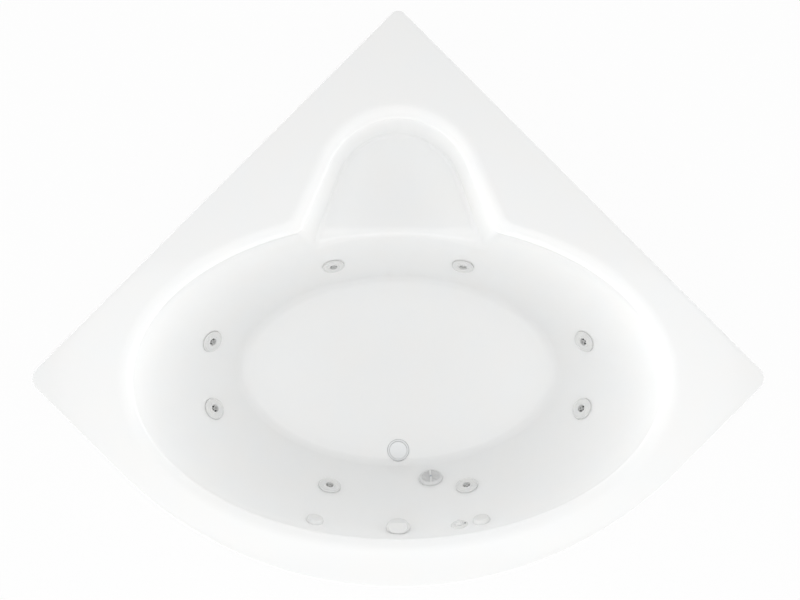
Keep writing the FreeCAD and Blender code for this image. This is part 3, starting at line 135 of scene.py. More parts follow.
def sealed_chipboard():
    """Chipboard under clear resin: long pale and brown flakes, slightly glossy where resin stands."""
    material, tree, shader, place = start_material("sealed_chipboard", IOR=1.5)
    flakes = add(tree, "ShaderNodeTexVoronoi", {"Vector": place, "Scale": 1 / (7 * MM)})
    flake = add(tree, "ShaderNodeSeparateColor", {"Color": flakes.outputs["Color"]}).outputs["Red"]
    tree.links.new(tint(tree, flake, (0.0, "#8A6A43"), (0.5, "#B9945F"), (1.0, "#D3B682")),
                   shader.inputs["Base Color"])
    tree.links.new(between(tree, speckle(tree, place, 12), 0.35, 0.6), shader.inputs["Roughness"])
    relief(tree, shader, flakes.outputs["Distance"], 0.3, 0.4)
    return material


def galvanised_steel():
    """Hot-dip galvanised tube: grey zinc crystals of about a centimetre, each with its own sheen."""
    material, tree, shader, place = start_material("galvanised_steel", Metallic=1.0)
    crystals = add(tree, "ShaderNodeTexVoronoi", {"Vector": place, "Scale": 1 / (11 * MM)})
    spangle = add(tree, "ShaderNodeSeparateColor", {"Color": crystals.outputs["Color"]}).outputs["Red"]
    tree.links.new(tint(tree, spangle, (0.0, "#9CA1A4"), (1.0, "#C2C6C8")), shader.inputs["Base Color"])
    rough = add(tree, "ShaderNodeMapRange", {"Value": spangle, "To Min": 0.32, "To Max": 0.52})
    tree.links.new(rough.outputs["Result"], shader.inputs["Roughness"])
    relief(tree, shader, speckle(tree, place, 2), 0.05, 0.4)
    return material


def zinc_plated_steel():
    """Bright zinc plate on screws and nuts: bluish and smooth, with a few duller spots."""
    material, tree, shader, place = start_material("zinc_plated_steel", Metallic=1.0)
    spots = speckle(tree, place, 1.5)
    tree.links.new(tint(tree, spots, (0.35, "#B4BAC0"), (0.65, "#D3D7DA")), shader.inputs["Base Color"])
    tree.links.new(between(tree, spots, 0.22, 0.38), shader.inputs["Roughness"])
    return material


def moulded_nylon():
    """Black glass-filled nylon, moulded: fibres dull it and give it a fine uneven skin."""
    material, tree, shader, place = start_material("moulded_nylon", IOR=1.53)
    skin = speckle(tree, place, 0.8)
    tree.links.new(tint(tree, skin, (0.3, "#1D1D1F"), (0.7, "#2A2A2D")), shader.inputs["Base Color"])
    tree.links.new(between(tree, skin, 0.45, 0.62), shader.inputs["Roughness"])
    relief(tree, shader, skin, 0.04, 0.5)
    return material


def polished_abs():
    """White ABS from a polished mould: near the bath's own gloss, a little greyer."""
    material, tree, shader, place = start_material("polished_abs", IOR=1.53)
    flow = speckle(tree, place, 14, detail=1.0)
    tree.links.new(tint(tree, flow, (0.3, "#E7E8E8"), (0.7, "#EBEBE9")), shader.inputs["Base Color"])
    tree.links.new(between(tree, speckle(tree, place, 1), 0.16, 0.24), shader.inputs["Roughness"])
    return material


def moulded_acetal():
    """Acetal jet nozzle: milky grey-white and slightly waxy, so that it turns in its socket."""
    material, tree, shader, place = start_material("moulded_acetal", IOR=1.48)
    flow = speckle(tree, place, 6, detail=1.0)
    tree.links.new(tint(tree, flow, (0.3, "#DDDEDE"), (0.7, "#E4E4E2")), shader.inputs["Base Color"])
    tree.links.new(between(tree, speckle(tree, place, 0.7), 0.28, 0.38), shader.inputs["Roughness"])
    return material


def rigid_pvc():
    """White rigid PVC pipe and fittings: a soft gloss with faint marks of the mould."""
    material, tree, shader, place = start_material("rigid_pvc", IOR=1.53)
    flow = speckle(tree, place, 18)
    tree.links.new(tint(tree, flow, (0.3, "#DDDEDC"), (0.7, "#E6E6E3")), shader.inputs["Base Color"])
    tree.links.new(between(tree, speckle(tree, place, 1.2), 0.3, 0.42), shader.inputs["Roughness"])
    relief(tree, shader, flow, 0.06, 0.3)
    return material


def grey_abs():
    """Pale grey ABS with a fine spark-eroded texture, as on suction covers."""
    material, tree, shader, place = start_material("grey_abs", IOR=1.53)
    grain = speckle(tree, place, 0.6)
    tree.links.new(tint(tree, grain, (0.3, "#DFE0E0"), (0.7, "#E4E4E4")), shader.inputs["Base Color"])
    tree.links.new(between(tree, grain, 0.3, 0.42), shader.inputs["Roughness"])
    relief(tree, shader, grain, 0.03, 0.4)
    return material


def satin_nickel():
    """Satin nickel on the waste: grey metal, blurred by its fine blasted finish."""
    material, tree, shader, place = start_material("satin_nickel", Metallic=1.0)
    grain = speckle(tree, place, 0.8)
    tree.links.new(tint(tree, grain, (0.3, "#BABCBD"), (0.7, "#C2C3C3")), shader.inputs["Base Color"])
    tree.links.new(between(tree, grain, 0.3, 0.4), shader.inputs["Roughness"])
    return material


def gasket_rubber():
    """Black rubber sheet, cut: matt, with dust from the press."""
    material, tree, shader, place = start_material("gasket_rubber", IOR=1.52)
    dust = speckle(tree, place, 2)
    tree.links.new(tint(tree, dust, (0.35, "#161617"), (0.75, "#232324")), shader.inputs["Base Color"])
    tree.links.new(between(tree, dust, 0.68, 0.85), shader.inputs["Roughness"])
    relief(tree, shader, dust, 0.05, 0.5)
    return material


def flexible_pvc():
    """Flexible white PVC hose: a smooth skin drawn over its stiff inner spiral."""
    material, tree, shader, place = start_material("flexible_pvc", IOR=1.53)
    flow = speckle(tree, place, 9)
    tree.links.new(tint(tree, flow, (0.3, "#D2D3D0"), (0.7, "#DDDDD9")), shader.inputs["Base Color"])
    tree.links.new(between(tree, speckle(tree, place, 1), 0.36, 0.5), shader.inputs["Roughness"])
    return material


def clear_vinyl():
    """Clear vinyl tube, slightly milky: it lets light through and shines on its bends."""
    material, tree, shader, place = start_material(
        "clear_vinyl", **{"IOR": 1.53, "Transmission Weight": 0.45})
    haze = speckle(tree, place, 5)
    tree.links.new(tint(tree, haze, (0.3, "#CFD5D4"), (0.7, "#E2E6E4")), shader.inputs["Base Color"])
    tree.links.new(between(tree, haze, 0.1, 0.22), shader.inputs["Roughness"])
    return material


def cable_sheath():
    """The drain cable's black ribbed sheath: soft plastic with a low shine."""
    material, tree, shader, place = start_material("cable_sheath", IOR=1.5)
    scuff = speckle(tree, place, 3)
    tree.links.new(tint(tree, scuff, (0.3, "#1F1F21"), (0.7, "#2D2D30")), shader.inputs["Base Color"])
    tree.links.new(between(tree, scuff, 0.4, 0.55), shader.inputs["Roughness"])
    return material


def pump_polypropylene():
    """Black filled polypropylene of the pump: a half-matt moulded skin with flow marks."""
    material, tree, shader, place = start_material("pump_polypropylene", IOR=1.49)
    flow = speckle(tree, place, 10)
    tree.links.new(tint(tree, flow, (0.3, "#191A1B"), (0.7, "#242526")), shader.inputs["Base Color"])
    tree.links.new(between(tree, speckle(tree, place, 1), 0.4, 0.55), shader.inputs["Roughness"])
    relief(tree, shader, speckle(tree, place, 0.7), 0.03, 0.4)
    return material


def painted_casting():
    """Die-cast aluminium under grey enamel: satin, with the casting's slight orange peel."""
    material, tree, shader, place = start_material("painted_casting", IOR=1.5)
    peel = speckle(tree, place, 1.6)
    tree.links.new(tint(tree, peel, (0.3, "#6E7377"), (0.7, "#7C8185")), shader.inputs["Base Color"])
    tree.links.new(between(tree, peel, 0.3, 0.45), shader.inputs["Roughness"])
    relief(tree, shader, peel, 0.06, 0.5)
    return material


def turned_steel():
    """Turned shaft steel: fine rings from the tool, drawn wide enough to show."""
    material, tree, shader, place = start_material("turned_steel", Metallic=1.0)
    rings = add(tree, "ShaderNodeTexWave", {"Vector": place, "Scale": 1 / (8 * MM), "Distortion": 1.0},
                bands_direction="Y").outputs["Fac"]
    tree.links.new(tint(tree, rings, (0.0, "#A9ABAD"), (1.0, "#BEC0C1")), shader.inputs["Base Color"])
    shader.inputs["Roughness"].default_value = 0.3
    return material


def stacked_iron():
    """The stator's stacked iron sheets: dark grey, lined where the sheets meet."""
    material, tree, shader, place = start_material("stacked_iron", Metallic=0.8)
    sheets = add(tree, "ShaderNodeTexWave", {"Vector": place, "Scale": 1 / (12 * MM)},
                 bands_direction="Y").outputs["Fac"]
    tree.links.new(tint(tree, sheets, (0.0, "#4A4D50"), (1.0, "#6A6D70")), shader.inputs["Base Color"])
    shader.inputs["Roughness"].default_value = 0.5
    return material


def ground_steel():
    """Ground bearing steel: bright, with a little variation from handling."""
    material, tree, shader, place = start_material("ground_steel", Metallic=1.0)
    haze = speckle(tree, place, 2)
    tree.links.new(tint(tree, haze, (0.3, "#BFC1C3"), (0.7, "#D2D3D4")), shader.inputs["Base Color"])
    tree.links.new(between(tree, haze, 0.14, 0.24), shader.inputs["Roughness"])
    return material


FINISHES = {
    "acrylic": cast_acrylic(), "board": sealed_chipboard(), "galvanised_steel": galvanised_steel(),
    "zinc_plated_steel": zinc_plated_steel(), "foot_nylon": moulded_nylon(),
    "white_abs": polished_abs(), "nozzle_plastic": moulded_acetal(), "white_pvc": rigid_pvc(),
    "suction_grey": grey_abs(), "waste_metal": satin_nickel(), "gasket_rubber": gasket_rubber(),
    "flexible_pvc": flexible_pvc(), "clear_vinyl": clear_vinyl(), "cable_sheath": cable_sheath(),
    "pump_plastic": pump_polypropylene(), "motor_aluminium": painted_casting(),
    "rotor_steel": turned_steel(), "stator_iron": stacked_iron(), "bearing_steel": ground_steel(),
}
SLOTS = {part["node"]: part["material_slot"] for part in frame["record"]["subparts"]}


def dress_frame():
    """Gives each CAD node the finish of its slot."""
    for name, node in nodes.items():
        material = FINISHES[SLOTS[name]]
        node.data.materials.clear()
        node.data.materials.append(material)


dress_frame()


# ---- Pieces ----

def make_piece(name, shape, body, *stands_for, slot=None):
    """Makes one piece of a bmesh. Its finish is that of what it replaces, unless a slot is named."""
    mesh = bpy.data.meshes.new(name)
    shape.to_mesh(mesh)
    shape.free()
    mesh.shade_smooth()
    mesh.set_sharp_from_angle(angle=SHARP_ANGLE)
    slot = slot or SLOTS[stands_for[0]]
    mesh.materials.append(FINISHES[slot])
    piece = bpy.data.objects.new(name, mesh)
    bpy.context.scene.collection.objects.link(piece)
    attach(piece, body)
    if stands_for:
        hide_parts(*stands_for)


def eased(outline):
    """An outline's (radius, height) places, with a corner that has a third number rounded by it."""
    places = []
    count = len(outline)
    for at, corner in enumerate(outline):
        here = Vector(corner[:2])
        if len(corner) == 2:
            places.append(here)
            continue
        before = (Vector(outline[at - 1][:2]) - here).normalized()
        after = (Vector(outline[(at + 1) % count][:2]) - here).normalized()
        reach = corner[2] / math.tan(before.angle(after) / 2)
        centre = here + (before + after).normalized() * corner[2] / math.sin(before.angle(after) / 2)
        first, last = here + before * reach - centre, here + after * reach - centre
        sweep = first.angle_signed(last)
        for step in range(EDGE_STEPS + 1):
            turn = Matrix.Rotation(-sweep * step / EDGE_STEPS, 2)
            places.append(centre + turn @ first)
    return places


def turned(shape, outline, place, segments=96):
    """Adds a solid of revolution. Its outline is in mm round the local Z of the place.

    An outline that starts away from the axis closes on itself, and any other closes on the axis.
    """
    rings = []
    for radius, height in eased(outline):
        ring = []
        for step in range(segments):
            turn = 2 * math.pi * step / segments
            at = Vector((radius * math.cos(turn), radius * math.sin(turn), height)) * MM
            ring.append(shape.verts.new(place @ at))
        rings.append(ring)
    faces = []
    closed = outline[0][0] > 0
    for first, second in zip(rings, rings[1:] + rings[:1] if closed else rings[1:]):
        for step in range(segments):
            after = (step + 1) % segments
            faces.append(shape.faces.new((first[step], first[after], second[after], second[step])))
    verts = [vert for ring in rings for vert in ring]
    bmesh.ops.remove_doubles(shape, verts=verts, dist=1e-7)
    bmesh.ops.recalc_face_normals(shape, faces=[face for face in faces if face.is_valid])


def bar(shape, low, high, place, bevel):
    """Adds a block between two local corners in mm, with its edges bevelled."""
    made = bmesh.ops.create_cube(shape, size=1.0)["verts"]
    low, high = Vector(low), Vector(high)
    for vert in made:
        side = Vector(0.5 + part for part in vert.co)
        spot = Vector(a + (b - a) * share for a, b, share in zip(low, high, side))
        vert.co = place @ (spot * MM)
    edges = {edge for vert in made for edge in vert.link_edges}
    bmesh.ops.bevel(shape, geom=list(edges), offset=bevel * MM, segments=3, affect="EDGES",
                    profile=0.5)


# ---- What repeats ----

def new_tree(name, **inputs):
    """An empty Geometry Nodes tree, and its inputs by name."""
    tree = bpy.data.node_groups.new(name, "GeometryNodeTree")
    tree.interface.new_socket("Geometry", in_out="INPUT", socket_type="NodeSocketGeometry")
    tree.interface.new_socket("Geometry", in_out="OUTPUT", socket_type="NodeSocketGeometry")
    for label, kind in inputs.items():
        tree.interface.new_socket(label, in_out="INPUT", socket_type=f"NodeSocket{kind}")
    return tree, add(tree, "NodeGroupInput").outputs


def close_tree(tree, shape, material):
    """Ends a tree: its instances are made real and take the material."""
    real = add(tree, "GeometryNodeRealizeInstances", {"Geometry": shape}).outputs["Geometry"]
    dressed = add(tree, "GeometryNodeSetMaterial", {"Geometry": real, "Material": material})
    add(tree, "NodeGroupOutput", {"Geometry": dressed.outputs["Geometry"]})
    return tree


def figure(tree, operation, *values):
    """A number worked out from others inside a tree."""
    return add(tree, "ShaderNodeMath", enumerate(values), operation=operation).outputs[0]


def along_axis(tree, axis, length):
    """A vector of that length along X, Y or Z."""
    return add(tree, "ShaderNodeCombineXYZ", {axis: length}).outputs["Vector"]


def slat_tree():
    """Slats side by side across a round opening, each as long as the opening is wide there."""
    tree, given = new_tree("cover_slats", Opening="Float", Pitch="Float", Count="Int", Width="Float",
                           Thickness="Float", Edge="Float", Finish="Material")
    gaps = figure(tree, "SUBTRACT", given["Count"], 1)
    first = figure(tree, "MULTIPLY", figure(tree, "MULTIPLY", gaps, given["Pitch"]), -0.5)
    line = add(tree, "GeometryNodeMeshLine", {
        "Count": given["Count"], "Start Location": along_axis(tree, "Y", first),
        "Offset": along_axis(tree, "Y", given["Pitch"])}).outputs["Mesh"]
    place = add(tree, "GeometryNodeInputPosition").outputs["Position"]
    across = add(tree, "ShaderNodeSeparateXYZ", {"Vector": place}).outputs["Y"]
    square = figure(tree, "SUBTRACT", figure(tree, "POWER", given["Opening"], 2),
                    figure(tree, "POWER", across, 2))
    reach = figure(tree, "SQRT", square)
    section = add(tree, "GeometryNodeCurvePrimitiveQuadrilateral", {
        "Width": given["Width"], "Height": given["Thickness"]}).outputs["Curve"]
    eased_section = add(tree, "GeometryNodeFilletCurve", {
        "Curve": section, "Radius": given["Edge"], "Count": 3}, mode="POLY").outputs["Curve"]
    run = add(tree, "GeometryNodeCurvePrimitiveLine", {
        "Start": (-1, 0, 0), "End": (1, 0, 0)}).outputs["Curve"]
    slat = add(tree, "GeometryNodeCurveToMesh", {
        "Curve": run, "Profile Curve": eased_section, "Fill Caps": True}).outputs["Mesh"]
    stretch = add(tree, "ShaderNodeCombineXYZ", {"X": reach, "Y": 1.0, "Z": 1.0}).outputs["Vector"]
    slats = add(tree, "GeometryNodeInstanceOnPoints", {
        "Points": line, "Instance": slat, "Scale": stretch}).outputs["Instances"]
    return close_tree(tree, slats, given["Finish"])


def thread_tree():
    """A screw thread: a three-sided ridge that winds up a stud."""
    tree, given = new_tree("screw_thread", Radius="Float", Pitch="Float", Length="Float",
                           Depth="Float", Finish="Material")
    winding = add(tree, "GeometryNodeCurveSpiral", {
        "Resolution": 20, "Rotations": figure(tree, "DIVIDE", given["Length"], given["Pitch"]),
        "Start Radius": given["Radius"], "End Radius": given["Radius"],
        "Height": given["Length"]}).outputs["Curve"]
    ridge = add(tree, "GeometryNodeCurvePrimitiveCircle", {
        "Resolution": 3, "Radius": given["Depth"]}).outputs["Curve"]
    thread = add(tree, "GeometryNodeCurveToMesh", {
        "Curve": winding, "Profile Curve": ridge, "Fill Caps": True}).outputs["Mesh"]
    return close_tree(tree, thread, given["Finish"])


def fixing_tree():
    """One fixing, set on each of the given points."""
    tree, given = new_tree("fixings", Fixing="Object", Finish="Material")
    shape = add(tree, "GeometryNodeObjectInfo", {"Object": given["Fixing"]}).outputs["Geometry"]
    fixings = add(tree, "GeometryNodeInstanceOnPoints", {
        "Points": given["Geometry"], "Instance": shape}).outputs["Instances"]
    return close_tree(tree, fixings, given["Finish"])


SLATS = slat_tree()
THREAD = thread_tree()
FIXINGS = fixing_tree()


def grow(shape, tree, place, points=((0, 0, 0),), **values):
    """Runs a tree with its inputs set, and adds what it makes to a piece. All sizes are in mm."""
    seed = bpy.data.meshes.new(tree.name)
    seed.from_pydata([list(point) for point in points], [], [])
    holder = bpy.data.objects.new(tree.name, seed)
    bpy.context.scene.collection.objects.link(holder)
    run = holder.modifiers.new(tree.name, "NODES")
    run.node_group = tree
    for socket in tree.interface.items_tree:
        if socket.in_out == "INPUT" and socket.name in values:
            run[socket.identifier] = values[socket.name]
    depsgraph = bpy.context.evaluated_depsgraph_get()
    grown = bpy.data.meshes.new_from_object(holder.evaluated_get(depsgraph))
    holder.modifiers.clear()
    bpy.data.objects.remove(holder)
    grown.transform(place @ Matrix.Scale(MM, 4))
    shape.from_mesh(grown)
    bpy.data.meshes.remove(grown)


def fixing(name, outline, segments):
    """One turned fixing in mm, kept only until its copies are made."""
    shape = bmesh.new()
    turned(shape, outline, Matrix.Scale(1 / MM, 4), segments=segments)
    mesh = bpy.data.meshes.new(name)
    shape.to_mesh(mesh)
    shape.free()
    return bpy.data.objects.new(name, mesh)


# ---- The bath's shape, in mm ----

DECK = 533.0
SHEET = 6.5
CORNER_REACH = 1077.63
SQUARE_Y = -230.51
RIM_EDGE = 6.0
RIM_DROP = 35.0
CORNERS = [(0, 1, 28.0), (1, 0, 38.0), (-1, 0, 38.0), (0, -1, 1141.0)]

BASIN_Y = -235.879
BASIN_FLOOR = 103.0
LIP_Z = 518.0
BASIN_HALVES = [(800.0, 771.5, 515.0), (485.0, 463.0, 307.0)]
WALL_POWER = 1.5
LIP_EASE = 8.7
FLOOR_COVE = 17.0

SEAT_Y = 308.62
SEAT_FLOOR = 378.0
SEAT_END_Y = 105.7
SEAT_RADII = (246.0, 218.0, 192.0)
SEAT_FLARES = (23.0, 20.0)
SEAT_COVE = 12.0
NOSE_Y = 222.5
NOSE_RADIUS = 80.0
NOSE_EDGE = 12.0
DECK_EDGE = 8.0


def smooth_max(one, other, width):
    """The larger of two numbers, eased over that width where they cross."""
    gap = np.maximum(width - np.abs(one - other), 0)
    return np.maximum(one, other) + gap ** 2 / (4 * width)


def coved(one, other, radius):
    """Two solids joined, with a cove of that radius in the corner between them."""
    corner = np.hypot(np.maximum(one + radius, 0), np.maximum(other + radius, 0))
    return np.minimum(-radius, np.maximum(one, other)) + corner


def edged(one, other, radius):
    """What two solids share, with the edge between them rounded to that radius."""
    corner = np.hypot(np.maximum(radius - one, 0), np.maximum(radius - other, 0))
    return np.maximum(radius, np.minimum(one, other)) - corner


def lip_line(wall, lip, deck, height, ease):
    """A wall's reach, eased into the sloping lip that carries on from it above."""
    return smooth_max(wall, lip + (deck - lip) * (height - LIP_Z) / (DECK - LIP_Z), ease)


def basin_halves(height):
    """Half the basin's length and width at a height: a bowed wall under the lip."""
    share = np.clip((LIP_Z - height) / (LIP_Z - BASIN_FLOOR), 0, None) ** WALL_POWER
    return [lip_line(lip - (lip - floor) * share, lip, deck, height, LIP_EASE)
            for deck, lip, floor in BASIN_HALVES]


def outside_basin(x, y, height):
    """How far a point is outside the basin's wall."""
    long_half, short_half = basin_halves(height)
    above, below = basin_halves(height + 0.5), basin_halves(height - 0.5)
    along = x / long_half
    across = (y - BASIN_Y) / short_half
    reach = np.hypot(along, across)
    lean = (along ** 2 * (above[0] - below[0]) / long_half
            + across ** 2 * (above[1] - below[1]) / short_half)
    steep = np.sqrt((along / long_half) ** 2 + (across / short_half) ** 2 + lean ** 2)
    return (reach - 1) * reach / np.maximum(steep, 1e-7)


def seat_radius(height):
    """The radius of the seat's round back at a height."""
    deck, lip, floor = SEAT_RADII
    wall = floor + (lip - floor) * (height - SEAT_FLOOR) / (LIP_Z - SEAT_FLOOR)
    return lip_line(wall, lip, deck, height, DECK_EDGE)


def outside_seat(x, y, height):
    """How far a point is outside the seat's wall: a round back with flared straight sides."""
    rise = np.clip((height - SEAT_FLOOR) / (LIP_Z - SEAT_FLOOR), 0, 1)
    flare = np.radians(SEAT_FLARES[1] + (SEAT_FLARES[0] - SEAT_FLARES[1]) * rise)
    across, along = np.abs(x), y - SEAT_Y
    on_side = across * np.sin(flare) > along * np.cos(flare)
    reach = np.where(on_side, across * np.cos(flare) + along * np.sin(flare),
                     np.hypot(across, along))
    lean = seat_radius(height + 0.5) - seat_radius(height - 0.5)
    return (reach - seat_radius(height)) / np.hypot(1, lean)


def under_seat(y, height):
    """How far a point is under the seat, which rolls over towards the basin."""
    past = np.maximum(NOSE_Y - y, 0)
    surface = SEAT_FLOOR - past ** 2 / (2 * NOSE_RADIUS)
    return (surface - height) / np.hypot(1, past / NOSE_RADIUS)


def under_surface(x, y, height):
    """How far a point is under the bath's upper surface; less than 0 in the open."""
    basin = coved(outside_basin(x, y, height), BASIN_FLOOR - height, FLOOR_COVE)
    seat = coved(outside_seat(x, y, height), under_seat(y, height), SEAT_COVE)
    seat = np.maximum(seat, SEAT_END_Y - y)
    return edged(DECK - height, edged(basin, seat, NOSE_EDGE), DECK_EDGE)


def rim_reach(bearing, inset):
    """How far the rim's outline, drawn in by the inset, is from the basin's middle."""
    east, north = np.sin(bearing), np.cos(bearing)
    rise = BASIN_Y - SQUARE_Y
    side = CORNER_REACH - inset * math.sqrt(2)
    with np.errstate(divide="ignore", invalid="ignore"):
        upper = np.where(np.abs(east) + north > 0, (side - rise) / (np.abs(east) + north), np.inf)
        lower = np.where(np.abs(east) - north > 0, (side + rise) / (np.abs(east) - north), np.inf)
    reach = np.minimum(upper, lower)
    for corner_x, corner_y, radius in CORNERS:
        back = CORNER_REACH - radius * math.sqrt(2)
        centre_x, centre_y = corner_x * back, corner_y * back - rise
        along = centre_x * east + centre_y * north
        room = (radius - inset) ** 2 - centre_x ** 2 - centre_y ** 2 + along ** 2
        root = along + np.sqrt(np.maximum(room, 0))
        out_x, out_y = root * east - centre_x, root * north - centre_y
        ahead = out_x * corner_x + out_y * corner_y
        aside = np.abs(out_x * corner_y) + np.abs(out_y * corner_x)
        reach = np.where((room > 0) & (ahead >= aside), root, reach)
    return reach


# The shell's surface is found along rays from a point above the basin's middle.
PIVOT_RISE = 600.0
COLUMNS = 480
ROWS = 112
SEAT_SPREAD = math.radians(37)
SEAT_DENSITY = 2.2
CORNER_SHARE = 0.35
ROW_LENGTH = 16.0
ROW_TURN = math.radians(5)
BEARING_TRIALS = 7201
TILT_TRIALS = 700
TURN_BLUR = 60
HALVINGS = 26
SLOPE_STEP = 0.05
RIM_STEPS = 6
RIM_LIP = 1.0
ROWS_PER_ROW_BELOW = 3


def column_bearings():
    """The columns' bearings, closer together at the seat and where the rim turns."""
    bearing = np.linspace(-math.pi, math.pi, BEARING_TRIALS)
    reach = rim_reach(bearing, 0)
    heading = np.unwrap(np.arctan2(np.gradient(reach * np.cos(bearing)),
                                   np.gradient(reach * np.sin(bearing))))
    turn = np.abs(np.gradient(heading))
    window = np.ones(2 * TURN_BLUR + 1)
    turn = np.convolve(np.r_[turn[-TURN_BLUR:], turn, turn[:TURN_BLUR]], window / len(window), "valid")
    weight = bearing[1] - bearing[0] + CORNER_SHARE * turn
    weight[np.abs(bearing) < SEAT_SPREAD] += SEAT_DENSITY * (bearing[1] - bearing[0])
    total = np.cumsum(weight)
    shares = (np.arange(COLUMNS) + 0.5) / COLUMNS
    return np.interp(shares * total[-1], total, bearing)


def ray_place(bearing, tilt, height):
    """Where a ray from the pivot, tilted from straight down, is at a height."""
    away = (DECK + PIVOT_RISE - height) * np.tan(tilt)
    return away * np.sin(bearing), BASIN_Y + away * np.cos(bearing), height


def meet_surface(bearing, tilt):
    """Where rays from the pivot meet the bath's upper surface, found by halving."""
    open_side = np.full(np.broadcast(bearing, tilt).shape, DECK + 0.5)
    solid_side = np.full(open_side.shape, BASIN_FLOOR - 5.0)
    for _ in range(HALVINGS):
        middle = (open_side + solid_side) / 2
        solid = under_surface(*ray_place(bearing, tilt, middle)) > 0
        solid_side = np.where(solid, middle, solid_side)
        open_side = np.where(solid, open_side, middle)
    return np.stack(ray_place(bearing, tilt, (open_side + solid_side) / 2), axis=-1)


def row_tilts(bearing, widest):
    """Each column's tilts, closer together where the surface bends."""
    shares = np.linspace(0, 1, TILT_TRIALS)[:, None]
    places = meet_surface(bearing[None, :], shares * widest[None, :])
    steps = np.diff(places, axis=0)
    lengths = np.linalg.norm(steps, axis=2)
    heads = steps / np.maximum(lengths, 1e-9)[..., None]
    turns = np.arccos(np.clip((heads[1:] * heads[:-1]).sum(axis=2), -1, 1))
    weight = lengths / ROW_LENGTH
    weight[1:] += turns / ROW_TURN
    total = np.cumsum(np.vstack([np.zeros(len(bearing)), weight]), axis=0)
    total /= total[-1]
    picked = np.linspace(0, 1, ROWS + 1)[1:]
    tilts = np.stack([np.interp(picked, total[:, column], shares[:, 0])
                      for column in range(len(bearing))], axis=1)
    eased_tilts = (np.roll(tilts, 1, axis=1) + 2 * tilts + np.roll(tilts, -1, axis=1)) / 4
    return eased_tilts * widest[None, :]


def surface_normals(places):
    """The directions that point out of the sheet at places on its upper surface."""
    x, y, height = np.moveaxis(places, -1, 0)
    step = SLOPE_STEP
    slopes = np.stack([
        under_surface(x - step, y, height) - under_surface(x + step, y, height),
        under_surface(x, y - step, height) - under_surface(x, y + step, height),
        under_surface(x, y, height - step) - under_surface(x, y, height + step)], axis=-1)
    return slopes / np.linalg.norm(slopes, axis=-1, keepdims=True)


def rim_ring(bearing, inset, height):
    """One ring of places on the rim."""
    reach = rim_reach(bearing, inset)
    return np.stack([reach * np.sin(bearing), BASIN_Y + reach * np.cos(bearing),
                     np.full(len(bearing), height)], axis=-1)


def shell_rings():
    """The shell's rings of places from the floor's middle out over the rim and back beneath."""
    bearing = column_bearings()
    widest = np.arctan(rim_reach(bearing, RIM_EDGE) / PIVOT_RISE)
    top = meet_surface(bearing[None, :], row_tilts(bearing, widest))
    top[-1, :, 2] = DECK
    rim = []
    for step in range(1, RIM_STEPS + 1):
        turn = math.pi / 2 * step / RIM_STEPS
        rim.append(rim_ring(bearing, RIM_EDGE * (1 - math.sin(turn)),
                            DECK - RIM_EDGE * (1 - math.cos(turn))))
    rim.append(rim_ring(bearing, 0, DECK - RIM_DROP + RIM_LIP))
    rim.append(rim_ring(bearing, RIM_LIP, DECK - RIM_DROP))
    rim.append(rim_ring(bearing, SHEET - RIM_LIP, DECK - RIM_DROP))
    rim.append(rim_ring(bearing, SHEET, DECK - RIM_DROP + RIM_LIP))
    rim.append(rim_ring(bearing, SHEET, DECK - SHEET))
    seen = top[:-1][::-ROWS_PER_ROW_BELOW]
    below = seen - surface_normals(seen) * SHEET
    return np.concatenate([top, np.stack(rim), below])


def place_at(origin, out):
    """A fitting's place: its Z points out of the wall, and its X lies level along the wall."""
    out = Vector(out).normalized()
    along = Vector((0, 0, 1)).cross(out)
    along = along.normalized() if along.length > 1e-6 else Vector((1, 0, 0))
    turn = Matrix((along, out.cross(along), out)).transposed().to_4x4()
    return Matrix.Translation(Vector(origin)) @ turn


def front_wall_place(x, height):
    """A fitting's place on the basin's front wall, from the wall's own curve."""
    share = (LIP_Z - height) / (LIP_Z - BASIN_FLOOR)
    halves = [lip - (lip - floor) * share ** WALL_POWER for deck, lip, floor in BASIN_HALVES]
    rates = [(lip - floor) * WALL_POWER * share ** (WALL_POWER - 1) / (LIP_Z - BASIN_FLOOR)
             for deck, lip, floor in BASIN_HALVES]
    y = -halves[1] * math.sqrt(1 - (x / halves[0]) ** 2)
    rise = x ** 2 * rates[0] / halves[0] ** 3 + y ** 2 * rates[1] / halves[1] ** 3
    out = (-x / halves[0] ** 2, -y / halves[1] ** 2, rise)
    return place_at(Vector((x, BASIN_Y + y, height)) * MM, out)


def joint_place(name):
    """The place of a fitting that turns about its own middle."""
    return place_at(joints[name]["pos_m"], joints[name]["axis"])


JET_NAMES = ["front_right", "right_front", "right_back", "back_right",
             "back_left", "left_back", "left_front", "front_left"]
SWITCH_X, CONTROL_Z = 183.0, 441.0
SUCTION_X, SUCTION_Z = 106.0, 185.0
DRAIN_Y = -499.88

JET_PLACES = {name: joint_place(f"ring_turn_{name}") for name in JET_NAMES}
AIR_PLACES = {side: joint_place(f"air_turn_{side}") for side in ("left", "right")}
SWITCH_PLACE = front_wall_place(SWITCH_X, CONTROL_Z)
OVERFLOW_PLACE = front_wall_place(0.0, CONTROL_Z)
SUCTION_PLACE = front_wall_place(SUCTION_X, SUCTION_Z)
DRAIN_PLACE = place_at(Vector((0, DRAIN_Y, BASIN_FLOOR)) * MM, (0, 0, 1))

# Each opening: its place, the shank's radius and the radius of the flat that the flange lies on.
OPENINGS = [(place, 22.5, 35.5) for place in JET_PLACES.values()]
OPENINGS += [(place, 13.5, 26.5) for place in AIR_PLACES.values()]
OPENINGS += [(SWITCH_PLACE, 16.5, 26.0), (OVERFLOW_PLACE, 22.5, 31.5),
             (SUCTION_PLACE, 27.5, 38.5), (DRAIN_PLACE, 21.5, 37.0)]


HOLE_DEPTH = 26
FLAT_CLEARANCE, FLAT_FLARE = 12, 6


